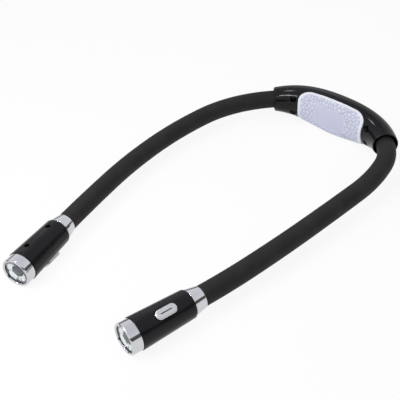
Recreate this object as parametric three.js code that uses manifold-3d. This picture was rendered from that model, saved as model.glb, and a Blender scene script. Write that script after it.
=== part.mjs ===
import * as THREE from "three";
import { mergeVertices } from "three/addons/utils/BufferGeometryUtils.js";
import Module from "manifold-3d";

// A reading light worn round the neck. A curved battery housing lies behind the neck, and a
// sleeved gooseneck leads from each of its ends to a barrel-shaped lamp head in front.
// Lengths are in millimetres. X runs from the wearer's one side to the other, the heads
// point towards -Y, Z is up, and the origin is on the flat under the middle of the housing.

const wasm = await Module();
wasm.setup();

// Housing: a crescent with round ends. Its rooms are those round the cells and the sleeves,
// and its shoulders are what lies beyond the door on each side.
const housingShoulder = 21.65;
const housingHalfTurn = radians(45);
const housingDrawIn = 8.6;
const cellHeadroom = 2.9;
const cellDepthRoom = 3.85;
const sleeveRoom = 0.5;
const middleSquareness = 0.3;
const shellWall = 1.7;
const baseFlatDepth = 0.5;
const seamTurn = radians(98);
const seamGap = 0.3;

// Battery bay, its door and the pad on it
const doorMargin = 4.2;
const doorHalfTurn = radians(68);
const doorCorner = 10;
const doorThickness = 1.4;
const doorGap = 0.45;
const padThickness = 1.4;
const padProud = 0.4;
const ledgeLength = 3;
const ledgeThickness = 1.5;
const ledgeHalfHeight = 7;
const cellLength = 44.5;
const cellDiameter = 10.5;
const cellNubDiameter = 5;
const cellNubLength = 0.8;
const cellSpacing = 0.6;
const cellSetBack = 0.2;
const cradleSpacing = 24;
const cradleThickness = 1.5;
const contactThickness = 0.4;
const contactStep = 1.25;
const contactBossDiameter = 4;
const contactBossHeight = 0.9;

// Screws through the housing, one pair near each end
const housingScrewMargin = 3.8;
const housingScrewRise = 5.8;
const housingScrewDiameter = 2.2;
const housingScrewHeadDiameter = 4;
const housingScrewHeadHeight = 1.2;
const housingScrewRecess = 2.7;
const housingScrewLength = 8.5;
const housingScrewHeadRoom = 0.35;
const housingPostDiameter = 6.4;
const housingBossDiameter = 4.6;
const housingSeatThickness = 1.8;

// Arms: a rubber sleeve over a steel gooseneck, in sections that turn on balls
const sleeveDiameter = 13;
const gooseneckDiameter = 5.6;
const socketLip = 0.5;
const ballRoom = 0.5;
const ballNeckDiameter = 8.4;
const ballNeckLength = 4.4;
const sleeveEntry = 6;
const gooseneckEntry = 11.4;
const clampLength = 3.6;
const clampStep = 0.6;
const bendBack = 0.6;
const bendRoom = 2.6;
const endSection = 24;
const shoulderSection = 36;
const longSection = 50;
const leftHeadSection = 49;
const rightHeadSection = 37;

// Lamp heads, measured forwards from the end of the sleeve
const collarLength = 8.5;
const collarOverhang = 0.45;
const collarStep = 0.6;
const collarNeckDiameter = 11;
const collarFlangeRoom = 0.5;
const collarFlangeThickness = 0.8;
const barrelLength = 36.6;
const barrelRearDiameter = 18;
const barrelFrontDiameter = 20.6;
const barrelEdge = 0.8;
const barrelWall = 1.5;
const barrelRearWall = 1.2;
const bezelStep = 0.4;
const bezelLength = 6.8;
const bezelLip = 0.6;
const bezelRim = 1.3;
const bezelSpigotLength = 4.5;
const bezelSpigotWall = 0.9;
const lensInset = 2;
const lensThickness = 1.5;
const lensRecess = 0.9;
const lensEdgeDrop = 0.5;
const lensShoulderDrop = 0.15;
const lensShoulderShare = 0.67;
const reflectorLength = 7;
const reflectorThroat = 5.4;
const reflectorRim = 0.5;
const reflectorLobeShare = 0.09;
const lightBoardThickness = 1.2;
const lightChipSide = 3.4;
const lightChipHeight = 1.1;

// Push button, its switch and the board under them
const buttonWidth = 6;
const buttonProud = 1.2;
const buttonTravel = 0.6;
const buttonGrooveLength = 7.5;
const buttonGrooveWidth = 0.5;
const buttonGrooveDepth = 0.4;
const buttonFlange = 0.8;
const buttonFlangeThickness = 0.8;
const switchSide = 6;
const switchHeight = 3;
const plungerDiameter = 3;
const plungerHeight = 0.5;
const boardThickness = 1;
const boardSlotLength = 2;
const boardSlotWidth = 4;

// Screws that close a lamp head
const headScrewTurn = radians(140);
const headScrewDiameter = 1.8;
const headScrewHeadDiameter = 2.9;
const headScrewHeadHeight = 1;
const headScrewSeat = 5.4;
const headScrewLength = 9;
const headScrewHeadRoom = 0.25;
const headPostDiameter = 4.6;
const headPostSetForward = 2.8;
const headWireRoom = 1.2;
const screwSlotShare = 0.75;
const screwSlotWidthShare = 0.2;
const screwSlotDepthShare = 0.45;

// Room between pieces that touch or slide, and how far a cutter runs past what it cuts
const clearance = 0.3;
const overrun = 120;

// The sections of each arm from the housing to the head, how far each turns, and where the
// button faces. The turns are those of the pose in which the light lies.
const arms = [
  {
    name: "left",
    side: -1,
    lengths: [endSection, shoulderSection, longSection, longSection, leftHeadSection],
    turns: [14.8, 23.3, 11.1, 8.5, 2.2].map(radians),
    buttonTurn: radians(225),
  },
  {
    name: "right",
    side: 1,
    lengths: [endSection, shoulderSection, longSection, longSection, rightHeadSection],
    turns: [30, 17.3, 1.2, 2.4, 4.2].map(radians),
    buttonTurn: radians(118),
  },
];

// How many flats or steps each kind of round has
const shellStations = 15;
const shellSteps = 12;
const doorPoints = 32;
const doorRings = 4;
const settleSteps = 10;
const sleeveSides = 12;
const gooseneckSides = 8;
const headSides = 18;
const smallSides = 10;
const reflectorSides = 20;
const reflectorRings = 4;
const reflectorLobes = 4;

const fullTurn = Math.PI * 2;
const quarterTurn = Math.PI / 2;
const up = new THREE.Vector3(0, 0, 1);

const glossBlack = finish(0x0b0b0e, 0.12, 0);
const sleeveBlack = finish(0x232122, 0.75, 0);
const padLilac = finish(0xd3d2ea, 0.55, 0);
const doorGrey = finish(0xb9b8cc, 0.6, 0);
const chrome = finish(0xd9dadd, 0.08, 1);
const satinSilver = finish(0xc4c5c9, 0.3, 0.9);
const clearLens = finish(0xeef4f7, 0.05, 0);
const boardGreen = finish(0x1f5a37, 0.5, 0);
const lightBoardWhite = finish(0xe8e8e2, 0.45, 0);
const switchBlack = finish(0x17171a, 0.5, 0);
const steel = finish(0x8d8f93, 0.35, 1);
const contactBrass = finish(0xb9a468, 0.3, 1);
const cellBlue = finish(0x2f4a78, 0.35, 0.3);

function radians(degrees) {
  return THREE.MathUtils.degToRad(degrees);
}

function finish(color, roughness, metalness) {
  return new THREE.MeshStandardMaterial({ color, roughness, metalness });
}

function spread(from, to, steps) {
  return Array.from({ length: steps + 1 }, (_, i) => from + ((to - from) * i) / steps);
}

// Closed geometry and solids

function closedGeometry(points, triangles) {
  const loose = new THREE.BufferGeometry().setFromPoints(points);
  loose.setIndex(triangles.flat());
  const merged = mergeVertices(loose);
  const at = (i) => new THREE.Vector3().fromBufferAttribute(merged.attributes.position, i);
  let faces = [];
  let volume = 0;
  for (let i = 0; i < merged.index.count; i += 3) {
    const [a, b, c] = [0, 1, 2].map((k) => merged.index.getX(i + k));
    if (a === b || b === c || c === a) continue;
    faces.push([a, b, c]);
    volume += at(a).dot(at(b).cross(at(c)));
  }
  if (volume < 0) faces = faces.map(([a, b, c]) => [a, c, b]);
  merged.setIndex(faces.flat());
  return merged;
}

// A closed surface through an outline that is set at each station by place(point, station).
// The stations close on themselves, or the first and last are capped.
function sweep(outline, stations, place, { joined = false, capOutline = outline } = {}) {
  const across = outline.length;
  const points = stations.flatMap((station) => outline.map((point) => place(point, station)));
  const triangles = [];
  const spans = joined ? stations.length : stations.length - 1;
  for (let j = 0; j < spans; j++) {
    const here = j * across;
    const next = ((j + 1) % stations.length) * across;
    for (let i = 0; i < across; i++) {
      const k = (i + 1) % across;
      triangles.push([here + i, here + k, next + k], [here + i, next + k, next + i]);
    }
  }
  if (!joined) {
    const last = (stations.length - 1) * across;
    for (const [a, b, c] of THREE.ShapeUtils.triangulateShape(capOutline, [])) {
      const flips = THREE.ShapeUtils.isClockWise(capOutline);
      triangles.push(flips ? [a, b, c] : [c, b, a]);
      triangles.push(flips ? [last + c, last + b, last + a] : [last + a, last + b, last + c]);
    }
  }
  return closedGeometry(points, triangles);
}

function solid(geometry, matrix = new THREE.Matrix4()) {
  const bare = geometry.clone().applyMatrix4(matrix);
  bare.deleteAttribute("normal");
  bare.deleteAttribute("uv");
  const merged = mergeVertices(bare);
  return new wasm.Manifold(
    new wasm.Mesh({
      numProp: 3,
      vertProperties: merged.attributes.position.array,
      triVerts: new Uint32Array(merged.index.array),
    }),
  );
}

function geometryOf(body) {
  const mesh = body.getMesh();
  const geometry = new THREE.BufferGeometry();
  geometry.setAttribute("position", new THREE.BufferAttribute(mesh.vertProperties, 3));
  geometry.setIndex(new THREE.BufferAttribute(mesh.triVerts, 1));
  geometry.computeVertexNormals();
  return geometry;
}

function piece(name, shape, material) {
  const geometry = shape.isBufferGeometry ? shape : geometryOf(shape);
  const mesh = new THREE.Mesh(geometry, material);
  mesh.name = name;
  return mesh;
}

function moved(x, y, z) {
  return new THREE.Matrix4().makeTranslation(x, y, z);
}

function box(x0, x1, y0, y1, z0, z1) {
  const geometry = new THREE.BoxGeometry(x1 - x0, y1 - y0, z1 - z0);
  return solid(geometry, moved((x0 + x1) / 2, (y0 + y1) / 2, (z0 + z1) / 2));
}

// A round bar along Y from one place to another
function bar(radius, y0, y1, matrix = new THREE.Matrix4(), sides = smallSides) {
  const geometry = new THREE.CylinderGeometry(radius, radius, y1 - y0, sides);
  return solid(geometry, matrix.clone().multiply(moved(0, (y0 + y1) / 2, 0)));
}

// A solid of revolution about Y from [radius, place] points, which start and end on the
// axis or close on themselves
function turned(profile, sides) {
  const outline = profile.map(([radius, place]) => new THREE.Vector2(radius, place));
  const place = (point, angle) =>
    new THREE.Vector3(point.x * Math.cos(angle), point.y, point.x * Math.sin(angle));
  return sweep(outline, spread(0, fullTurn, sides).slice(0, -1), place, { joined: true });
}

// A bar with round ends, long along Y, standing on z = 0
function stadium(length, width, height) {
  const half = (length - width) / 2;
  const shape = new THREE.Shape();
  shape.absarc(0, half, width / 2, 0, Math.PI);
  shape.absarc(0, -half, width / 2, Math.PI, fullTurn);
  return new THREE.ExtrudeGeometry(shape, {
    depth: height,
    bevelEnabled: false,
    curveSegments: smallSides / 2,
  });
}

// A screw with its tip towards +Y and the underside of its head at y = 0
function screw(diameter, headDiameter, headHeight, length) {
  const headRadius = headDiameter / 2;
  const body = turned(
    [
      [0, -headHeight],
      [headRadius, -headHeight],
      [headRadius, 0],
      [diameter / 2, 0],
      [diameter / 2, length - diameter / 2],
      [0, length],
    ],
    smallSides,
  );
  const reach = headRadius * screwSlotShare;
  const half = (headDiameter * screwSlotWidthShare) / 2;
  const floor = -headHeight * (1 - screwSlotDepthShare);
  const slot = box(-reach, reach, -overrun, floor, -half, half);
  const crossSlot = box(-half, half, -overrun, floor, -reach, reach);
  return geometryOf(solid(body).subtract(slot).subtract(crossSlot));
}

// The battery bay sets the least size of the housing, and the sleeves set its ends

const cellPitch = cellDiameter + cellSpacing;
const cellPlaces = [cellPitch / 2, -cellPitch / 2];
const contactWidth = cellDiameter - contactStep * 2;
const contactInner = cellLength / 2 + clearance + contactBossHeight;
const endWallInner = contactInner + contactThickness + clearance;
const doorHalfLength = endWallInner + doorMargin;
const housingSpan = 2 * (doorHalfLength + housingShoulder);
const housingHalfHeight = (cellPitch + cellDiameter) / 2 + cellHeadroom + shellWall;
const housingHalfDepth = cellDiameter / 2 + cellDepthRoom + shellWall;
const housingEndRadius = sleeveDiameter / 2 + clearance + sleeveRoom + shellWall;

// The housing's skin: its centre line is an arc, drawn in towards its middle

const housingRadius = housingSpan / 2 / Math.sin(housingHalfTurn);
const housingCentre = housingRadius * Math.cos(housingHalfTurn);
const housingMiddle = housingRadius - housingDrawIn - housingCentre;

// The section of the housing at a turn from its middle, at a depth under the skin
function skinShape(angle, inset) {
  const swell = Math.cos((angle / housingHalfTurn) * quarterTurn);
  return {
    middle: housingRadius - housingDrawIn * swell * swell,
    halfHeight: housingEndRadius + (housingHalfHeight - housingEndRadius) * swell - inset,
    halfDepth: housingEndRadius + (housingHalfDepth - housingEndRadius) * swell - inset,
    power: 2 / (2 + middleSquareness * swell),
  };
}

// How far a point of the skin lies from the arc's centre, and its height. around is 0 at the
// back and half a turn at the neck.
function skinSection(angle, around, inset) {
  const { middle, halfHeight, halfDepth, power } = skinShape(angle, inset);
  const rounded = (value) => Math.sign(value) * Math.abs(value) ** power;
  return {
    radius: middle + halfDepth * rounded(Math.cos(around)),
    height: halfHeight * rounded(Math.sin(around)),
  };
}

// How far the neck side of the skin lies from the arc's centre at a height
function neckSideRadius(angle, height) {
  const { middle, halfHeight, halfDepth, power } = skinShape(angle, 0);
  const around = Math.asin((height / halfHeight) ** (1 / power));
  return middle - halfDepth * Math.cos(around) ** power;
}

function skinPoint(angle, around, inset) {
  const { radius, height } = skinSection(angle, around, inset);
  const x = radius * Math.sin(angle);
  return new THREE.Vector3(x, radius * Math.cos(angle) - housingCentre, height);
}

// A point under the skin that keeps the X of the skin above it, so that what ends there
// slides out along Y
function underSkin(angle, around, inset) {
  return skinPoint(turnAt(skinPoint(angle, around, 0).x, around, inset), around, inset);
}

// The turn from the middle at which the skin, or what lies under it, reaches an X
function turnAt(x, around, inset) {
  let turn = 0;
  for (let i = 0; i < settleSteps; i++)
    turn = Math.asin(x / skinSection(turn, around, inset).radius);
  return turn;
}

// The whole crescent under the skin at one inset
function crescent(inset) {
  const angles = spread(0, fullTurn, shellSteps * 2).slice(0, -1);
  const outline = angles.map((angle) => new THREE.Vector2(angle, inset));
  const capOutline = angles.map((angle) => new THREE.Vector2(Math.cos(angle), Math.sin(angle)));
  return solid(
    sweep(
      outline,
      spread(-housingHalfTurn, housingHalfTurn, shellStations),
      (point, angle) => skinPoint(angle, point.x, point.y),
      { capOutline },
    ),
  );
}

// One wall of the crescent, between two turns round its centre line
function shellWallSolid(from, to) {
  const outside = spread(from, to, shellSteps).map((angle) => new THREE.Vector2(angle, 0));
  const inside = outside.map((point) => new THREE.Vector2(point.x, shellWall)).reverse();
  const outline = [...outside, ...inside];
  const capOutline = outline.map(({ x: around, y: inset }) =>
    new THREE.Vector2(Math.cos(around), Math.sin(around)).multiplyScalar(housingEndRadius - inset),
  );
  return solid(
    sweep(
      outline,
      spread(-housingHalfTurn, housingHalfTurn, shellStations),
      (point, angle) => skinPoint(angle, point.x, point.y),
      { capOutline },
    ),
  );
}

const cellDepth = housingMiddle + cellSetBack;

const doorEndTurn = turnAt(doorHalfLength, Math.PI, 0);
const doorHalfHeight = ((housingHalfHeight + housingHalfDepth) / 2) * doorHalfTurn;
const doorFront = padThickness - padProud + doorGap;
const doorBack = doorFront + doorThickness;

// A rounded rectangle bent onto the skin, between two depths, grown or shrunk at its edge
function doorSlab(growth, front, back) {
  const halfLength = doorHalfLength + growth;
  const halfHeight = doorHalfHeight + growth;
  const corner = doorCorner + growth;
  const shape = new THREE.Shape();
  shape.absarc(halfLength - corner, halfHeight - corner, corner, 0, quarterTurn);
  shape.absarc(corner - halfLength, halfHeight - corner, corner, quarterTurn, Math.PI);
  shape.absarc(corner - halfLength, corner - halfHeight, corner, Math.PI, -quarterTurn);
  shape.absarc(halfLength - corner, corner - halfHeight, corner, -quarterTurn, 0);
  shape.closePath();
  const edge = shape.getSpacedPoints(doorPoints).slice(0, -1);
  const out = spread(0, 1, doorRings);
  const outline = [
    ...out.map((reach) => new THREE.Vector2(reach, front)),
    ...out.toReversed().map((reach) => new THREE.Vector2(reach, back)),
  ];
  const place = (point, rim) => {
    const angle = ((rim.x * point.x) / doorHalfLength) * doorEndTurn;
    const around = Math.PI - ((rim.y * point.x) / doorHalfHeight) * doorHalfTurn;
    return underSkin(angle, around, point.y);
  };
  return sweep(outline, edge, place, { joined: true });
}

// Turns +Y to the spoke of the housing's arc at an angle, from the arc's centre
function spoke(angle, rise) {
  return moved(0, -housingCentre, 0)
    .multiply(new THREE.Matrix4().makeRotationZ(-angle))
    .multiply(moved(0, 0, rise));
}

const housingScrewTurn = turnAt(doorHalfLength + housingScrewMargin, Math.PI, 0);

const housingScrews = [-1, 1].flatMap((side) =>
  [1, -1].map((rise) => spoke(side * housingScrewTurn, rise * housingScrewRise)),
);

const housingScrewSeat =
  neckSideRadius(housingScrewTurn, housingScrewRise) + housingScrewRecess;

function cellBar(radius, z, x0, x1) {
  const lying = new THREE.Matrix4().makeRotationZ(-quarterTurn);
  return bar(radius, x0, x1, moved(0, cellDepth, z).multiply(lying), headSides);
}

function outerShell() {
  const inside = crescent(shellWall / 2);
  let shell = shellWallSolid(-seamTurn, seamTurn);
  const seamBack = housingScrewSeat + housingSeatThickness + clearance;
  for (const matrix of housingScrews) {
    const boss = bar(housingBossDiameter / 2, seamBack, overrun, matrix);
    shell = shell.add(boss.intersect(inside));
  }
  const cradleHalf = cellPitch / 2 + cellDiameter / 2;
  for (const x of [-cradleSpacing / 2, cradleSpacing / 2]) {
    const half = cradleThickness / 2;
    let rib = box(x - half, x + half, cellDepth, overrun, -cradleHalf, cradleHalf);
    for (const z of cellPlaces)
      rib = rib.subtract(cellBar(cellDiameter / 2 + clearance, z, -overrun, overrun));
    shell = shell.add(rib.intersect(inside));
  }
  const wallHalf = cellPitch / 2 + contactWidth / 2;
  const wallFront = cellDepth - contactBossDiameter / 2;
  for (const side of [-1, 1]) {
    const ends = [endWallInner * side, (endWallInner + cradleThickness) * side];
    const [low, high] = [Math.min(...ends), Math.max(...ends)];
    const wall = box(low, high, wallFront, overrun, -wallHalf, wallHalf);
    shell = shell.add(wall.intersect(inside));
  }
  const pilotEnd = housingScrewSeat + housingScrewLength + clearance;
  for (const matrix of housingScrews)
    shell = shell.subtract(bar(housingScrewDiameter / 2 + clearance, 0, pilotEnd, matrix));
  return shell.subtract(underBase());
}

function underBase() {
  return box(-overrun, overrun, -overrun, overrun, -overrun, baseFlatDepth - housingHalfHeight);
}

function innerShell() {
  const inside = crescent(shellWall / 2);
  const seam = seamTurn + seamGap / housingHalfHeight;
  let shell = shellWallSolid(seam, fullTurn - seam);
  const seatBack = housingScrewSeat + housingSeatThickness;
  for (const matrix of housingScrews)
    shell = shell.add(bar(housingPostDiameter / 2, 0, seatBack, matrix).intersect(inside));
  const pocket = solid(doorSlab(clearance, -shellWall, doorBack + clearance));
  shell = shell.subtract(pocket);
  for (const side of [-1, 1]) {
    const ledge = doorLedge(side).intersect(inside);
    shell = shell.add(ledge.subtract(pocket));
  }
  for (const matrix of housingScrews)
    shell = shell
      .subtract(bar(housingScrewHeadDiameter / 2 + housingScrewHeadRoom, 0, housingScrewSeat, matrix))
      .subtract(bar(housingScrewDiameter / 2 + clearance, 0, overrun, matrix));
  return shell.subtract(underBase());
}

// A hooked ledge inside the neck side that the end of the door rests on
function doorLedge(side) {
  const footFront = skinPoint(doorEndTurn, Math.PI, doorBack).y;
  const footBack = footFront + clearance + ledgeThickness;
  const legInner = doorHalfLength + doorGap;
  const legOuter = legInner + ledgeThickness;
  const footInner = doorHalfLength - ledgeLength;
  const shape = new THREE.Shape();
  shape.moveTo(footInner, footFront);
  shape.lineTo(legInner, footFront);
  shape.lineTo(legInner, 0);
  shape.lineTo(legOuter, 0);
  shape.lineTo(legOuter, footBack);
  shape.lineTo(footInner, footBack);
  const hook = new THREE.ExtrudeGeometry(shape, {
    depth: ledgeHalfHeight * 2,
    bevelEnabled: false,
  });
  hook.translate(0, 0, -ledgeHalfHeight);
  return side < 0 ? solid(hook).mirror([1, 0, 0]) : solid(hook);
}

function batteryCell(toPlus) {
  const radius = cellDiameter / 2;
  const shoulder = cellLength - cellNubLength;
  const cell = turned(
    [
      [0, 0],
      [radius, 0],
      [radius, shoulder],
      [cellNubDiameter / 2, shoulder],
      [cellNubDiameter / 2, cellLength],
      [0, cellLength],
    ],
    headSides,
  );
  cell.translate(0, -cellLength / 2, 0);
  return cell.rotateZ(toPlus ? -quarterTurn : quarterTurn);
}

// A sheet contact that stands at the cells' ends, with a boss towards each cell it serves
function contactPlate(side, places) {
  const low = Math.min(...places) - contactWidth / 2;
  const high = Math.max(...places) + contactWidth / 2;
  const sheet = box(
    contactInner,
    contactInner + contactThickness,
    cellDepth - contactWidth / 2,
    cellDepth + contactWidth / 2,
    low,
    high,
  );
  const end = contactInner + contactThickness / 2;
  const bossEnd = contactInner - contactBossHeight;
  let plate = sheet;
  for (const z of places) plate = plate.add(cellBar(contactBossDiameter / 2, z, bossEnd, end));
  const geometry = geometryOf(plate);
  if (side > 0) return geometry;
  return geometry.translate(0, -cellDepth, 0).rotateZ(Math.PI).translate(0, cellDepth, 0);
}

function housing() {
  const group = new THREE.Group();
  group.add(
    piece("outer_shell", outerShell(), glossBlack),
    piece("inner_shell", innerShell(), glossBlack),
    piece("battery_door", doorSlab(0, doorFront, doorBack), doorGrey),
    piece("neck_pad", doorSlab(0, -padProud, padThickness - padProud), padLilac),
    piece("contact_link", contactPlate(-1, cellPlaces), contactBrass),
    piece("contact_positive", contactPlate(1, [cellPlaces[0]]), contactBrass),
    piece("contact_negative", contactPlate(1, [cellPlaces[1]]), contactBrass),
  );
  cellPlaces.forEach((z, i) => {
    const cell = piece(`battery_cell_${i + 1}`, batteryCell(i === 0), cellBlue);
    cell.position.set(0, cellDepth, z);
    group.add(cell);
  });
  housingScrews.forEach((matrix, i) => {
    const shape = screw(
      housingScrewDiameter,
      housingScrewHeadDiameter,
      housingScrewHeadHeight,
      housingScrewLength,
    );
    const fastener = piece(`housing_screw_${i + 1}`, shape, steel);
    fastener.applyMatrix4(matrix.clone().multiply(moved(0, housingScrewSeat - clearance, 0)));
    group.add(fastener);
  });
  return group;
}

const sleeveBore = gooseneckDiameter + clearance * 2;
const socketDiameter = sleeveDiameter - socketLip * 2;
const ballDiameter = socketDiameter - ballRoom * 2;
const clampDiameter = sleeveDiameter - clampStep * 2;

// An arm's route: five arcs in one plane, from the housing's end to the lamp head

function armLength(arm) {
  return arm.lengths.reduce((sum, length) => sum + length, 0);
}

// Where each section starts along its arm
function sectionStarts(arm) {
  let start = 0;
  return arm.lengths.map((length) => {
    const here = start;
    start += length;
    return here;
  });
}

// The centre and heading at a distance along one arm, straight on past both of its ends
function routeFrame(arm, distance) {
  const forward = (angle) =>
    new THREE.Vector3(arm.side * Math.sin(angle), -Math.cos(angle), 0);
  const at = new THREE.Vector3((arm.side * housingSpan) / 2, 0, 0);
  let heading = quarterTurn - housingHalfTurn;
  at.addScaledVector(forward(heading), Math.min(distance, 0));
  let left = distance;
  for (let i = 0; i < arm.lengths.length && left > 0; i++) {
    const length = Math.min(left, arm.lengths[i]);
    const turn = (-arm.turns[i] * length) / arm.lengths[i];
    const chord = (length * Math.sin(turn / 2)) / (turn / 2);
    at.addScaledVector(forward(heading + turn / 2), chord);
    heading += turn;
    left -= length;
  }
  at.addScaledVector(forward(heading), Math.max(left, 0));
  return { at, forward: forward(heading) };
}

// Round each ball the route is taken as straight, so that balls and sockets stay true
function armFrame(arm, distance) {
  const near = sectionStarts(arm)
    .slice(1)
    .find((place) => Math.abs(place - distance) < socketDiameter / 2);
  if (near === undefined) return routeFrame(arm, distance);
  const frame = routeFrame(arm, near);
  return { at: frame.at.addScaledVector(frame.forward, distance - near), forward: frame.forward };
}

// A round body about the route, from [distance, radius] points round its section
function aboutRoute(arm, profile, sides) {
  const outline = profile.map(([distance, radius]) => new THREE.Vector2(distance, radius));
  const place = (point, angle) => {
    const { at, forward } = armFrame(arm, point.x);
    const across = forward.clone().cross(up);
    return at
      .addScaledVector(across, point.y * Math.cos(angle))
      .addScaledVector(up, point.y * Math.sin(angle));
  };
  return sweep(outline, spread(0, fullTurn, sides).slice(0, -1), place, { joined: true });
}

// Points on a ball or in a socket between two turns from the route
function ballProfile(centre, radius, from, to, direction, steps) {
  return spread(from, to, steps).map((angle) => [
    centre + direction * radius * Math.cos(angle),
    radius * Math.sin(angle),
  ]);
}

// Places along a section between its socket and its ball
function stationsAlong(arm, index) {
  const start = sectionStarts(arm)[index];
  const end = start + arm.lengths[index];
  const reach = socketDiameter / 2;
  const from = index === 0 ? start : start + reach;
  const to = index === arm.lengths.length - 1 ? end : end - reach;
  return spread(from, to, Math.ceil((to - from) / sleeveDiameter));
}

function sleeveSection(arm, index) {
  const start = sectionStarts(arm)[index];
  const first = index === 0;
  const last = index === arm.lengths.length - 1;
  const outer = sleeveDiameter / 2;
  const bore = sleeveBore / 2;
  const ball = ballDiameter / 2;
  const neck = ballNeckDiameter / 2;
  const socket = socketDiameter / 2;
  const begin = first ? -sleeveEntry : start;
  const end = start + arm.lengths[index];
  const shoulder = last ? end : end - ballNeckLength;
  const boreBegin = first ? begin : begin + Math.sqrt(socket * socket - bore * bore);
  const run = first ? [begin, ...stationsAlong(arm, index)] : stationsAlong(arm, index);
  const outside = first ? [] : [[begin, outer]];
  outside.push(...run.map((distance) => [distance, outer]));
  const nose = [];
  if (!last) {
    nose.push([shoulder, outer], [shoulder, neck]);
    nose.push(...ballProfile(end, ball, Math.asin(neck / ball), quarterTurn, -1, 2));
    nose.push([end, bore]);
  }
  const inside = run.toReversed().map((distance) => [distance, bore]);
  const cup = [];
  if (!first) {
    inside.pop();
    cup.push([boreBegin, bore]);
    cup.push(...ballProfile(begin, socket, Math.asin(bore / socket), quarterTurn, 1, 3).slice(1));
  }
  return aboutRoute(arm, [...outside, ...nose, ...inside, ...cup], sleeveSides);
}

function gooseneckSection(arm, index) {
  const start = sectionStarts(arm)[index];
  const last = index === arm.lengths.length - 1;
  const sectionEnd = start + arm.lengths[index];
  const begin = index === 0 ? -gooseneckEntry : start + bendRoom;
  const end = last ? sectionEnd + headGooseneckEnd : sectionEnd - bendBack;
  const radius = gooseneckDiameter / 2;
  const run = [begin, ...stationsAlong(arm, index), end];
  const profile = [[begin, 0], ...run.map((distance) => [distance, radius]), [end, 0]];
  return aboutRoute(arm, profile, gooseneckSides);
}

function gooseneckClamp(arm) {
  const front = -sleeveEntry - clearance;
  const bore = gooseneckDiameter / 2 + clearance;
  const profile = [
    [front - clampLength, bore],
    [front, bore],
    [front, clampDiameter / 2],
    [front - clampLength / 2, clampDiameter / 2],
    [front - clampLength / 2, (bore + clampDiameter / 2) / 2],
    [front - clampLength, (bore + clampDiameter / 2) / 2],
  ];
  return aboutRoute(arm, profile, smallSides);
}

// A lamp head, built along +Y from the end of the sleeve with its button towards +Z

const barrelStart = collarLength + clearance;
const barrelEnd = barrelStart + barrelLength;
const bezelStart = barrelEnd + clearance;
const headLength = bezelStart + bezelLength;
const collarFlangeStart = barrelStart + barrelRearWall + clearance;
const headGooseneckEnd = collarFlangeStart + collarFlangeThickness;

const collarRearDiameter = sleeveDiameter + collarOverhang * 2;
const collarFrontDiameter = barrelRearDiameter - collarStep * 2;
const collarFlangeRadius = barrelRearDiameter / 2 - barrelWall - collarFlangeRoom;
const bezelDiameter = barrelFrontDiameter - bezelStep * 2;
const lensDiameter = bezelDiameter - lensInset * 2;

const lensFront = headLength - lensRecess;
const lensBack = lensFront - lensThickness;
const lensSeat = lensBack - clearance;
const reflectorEnd = lensSeat - clearance;
const reflectorStart = reflectorEnd - reflectorLength;
const lightBoardFront = reflectorStart - clearance;
const lightBoardBack = lightBoardFront - lightBoardThickness;

const headPostRadius = headPostDiameter / 2;
const rearScrewPlace = headGooseneckEnd + headPostSetForward + headPostRadius;
const frontScrewPlace = lightBoardBack - headWireRoom - clearance - headPostRadius;
const headScrewPlaces = [rearScrewPlace, frontScrewPlace];
const boardRear = rearScrewPlace + headPostRadius + clearance;
const boardFront = frontScrewPlace - headPostRadius - clearance;
const buttonPlace = (boardRear + boardFront) / 2;
const buttonLength = boardFront - boardRear - clearance - buttonFlange * 2;

function barrelRadiusAt(place) {
  const share = (place - barrelStart) / barrelLength;
  return THREE.MathUtils.lerp(barrelRearDiameter, barrelFrontDiameter, share) / 2;
}

// The least bore of the barrel between two places
function barrelBoreOver(from, to) {
  return Math.min(barrelRadiusAt(from), barrelRadiusAt(to)) - barrelWall;
}

const buttonTop = barrelRadiusAt(buttonPlace) + buttonProud;
const flangeHalfWidth = buttonWidth / 2 + buttonFlange;
const flangeReach = buttonLength / 2 + buttonFlange;
const boreAtFlange = barrelBoreOver(buttonPlace - flangeReach, buttonPlace + flangeReach);
const flangeTop = Math.sqrt(boreAtFlange ** 2 - flangeHalfWidth ** 2) - clearance;
const flangeBottom = flangeTop - buttonFlangeThickness;
const plungerTop = flangeBottom - buttonTravel - clearance;
const switchBottom = plungerTop - plungerHeight - switchHeight;
const boardTop = switchBottom - clearance;
const boardBottom = boardTop - boardThickness;
const boardLevel = Math.max(Math.abs(boardTop), Math.abs(boardBottom));
const boardHalfWidth =
  Math.sqrt(barrelBoreOver(boardRear, boardFront) ** 2 - boardLevel ** 2) - clearance;

const spigotStart = bezelStart - bezelSpigotLength;
const spigotRadius = barrelBoreOver(spigotStart, barrelEnd) - clearance;
const spigotBore = spigotRadius - bezelSpigotWall;
const reflectorRadius = spigotBore - clearance;
const reflectorMouth = (reflectorRadius - reflectorRim) / (1 + reflectorLobeShare);

function collar() {
  const bore = gooseneckDiameter / 2 + clearance;
  return turned(
    [
      [bore, clearance],
      [collarRearDiameter / 2, clearance],
      [collarFrontDiameter / 2, collarLength],
      [collarNeckDiameter / 2, collarLength],
      [collarNeckDiameter / 2, collarFlangeStart],
      [collarFlangeRadius, collarFlangeStart],
      [collarFlangeRadius, collarFlangeStart + collarFlangeThickness],
      [bore, collarFlangeStart + collarFlangeThickness],
    ],
    headSides,
  );
}

function barrelShell() {
  const rear = barrelRearDiameter / 2;
  const front = barrelFrontDiameter / 2;
  return solid(
    turned(
      [
        [collarNeckDiameter / 2 + clearance, barrelStart],
        [rear - barrelEdge, barrelStart],
        [rear, barrelStart + barrelEdge],
        [front, barrelEnd],
        [front - barrelWall, barrelEnd],
        [rear - barrelWall, barrelStart + barrelRearWall],
        [collarNeckDiameter / 2 + clearance, barrelStart + barrelRearWall],
      ],
      headSides,
    ),
  );
}

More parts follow.
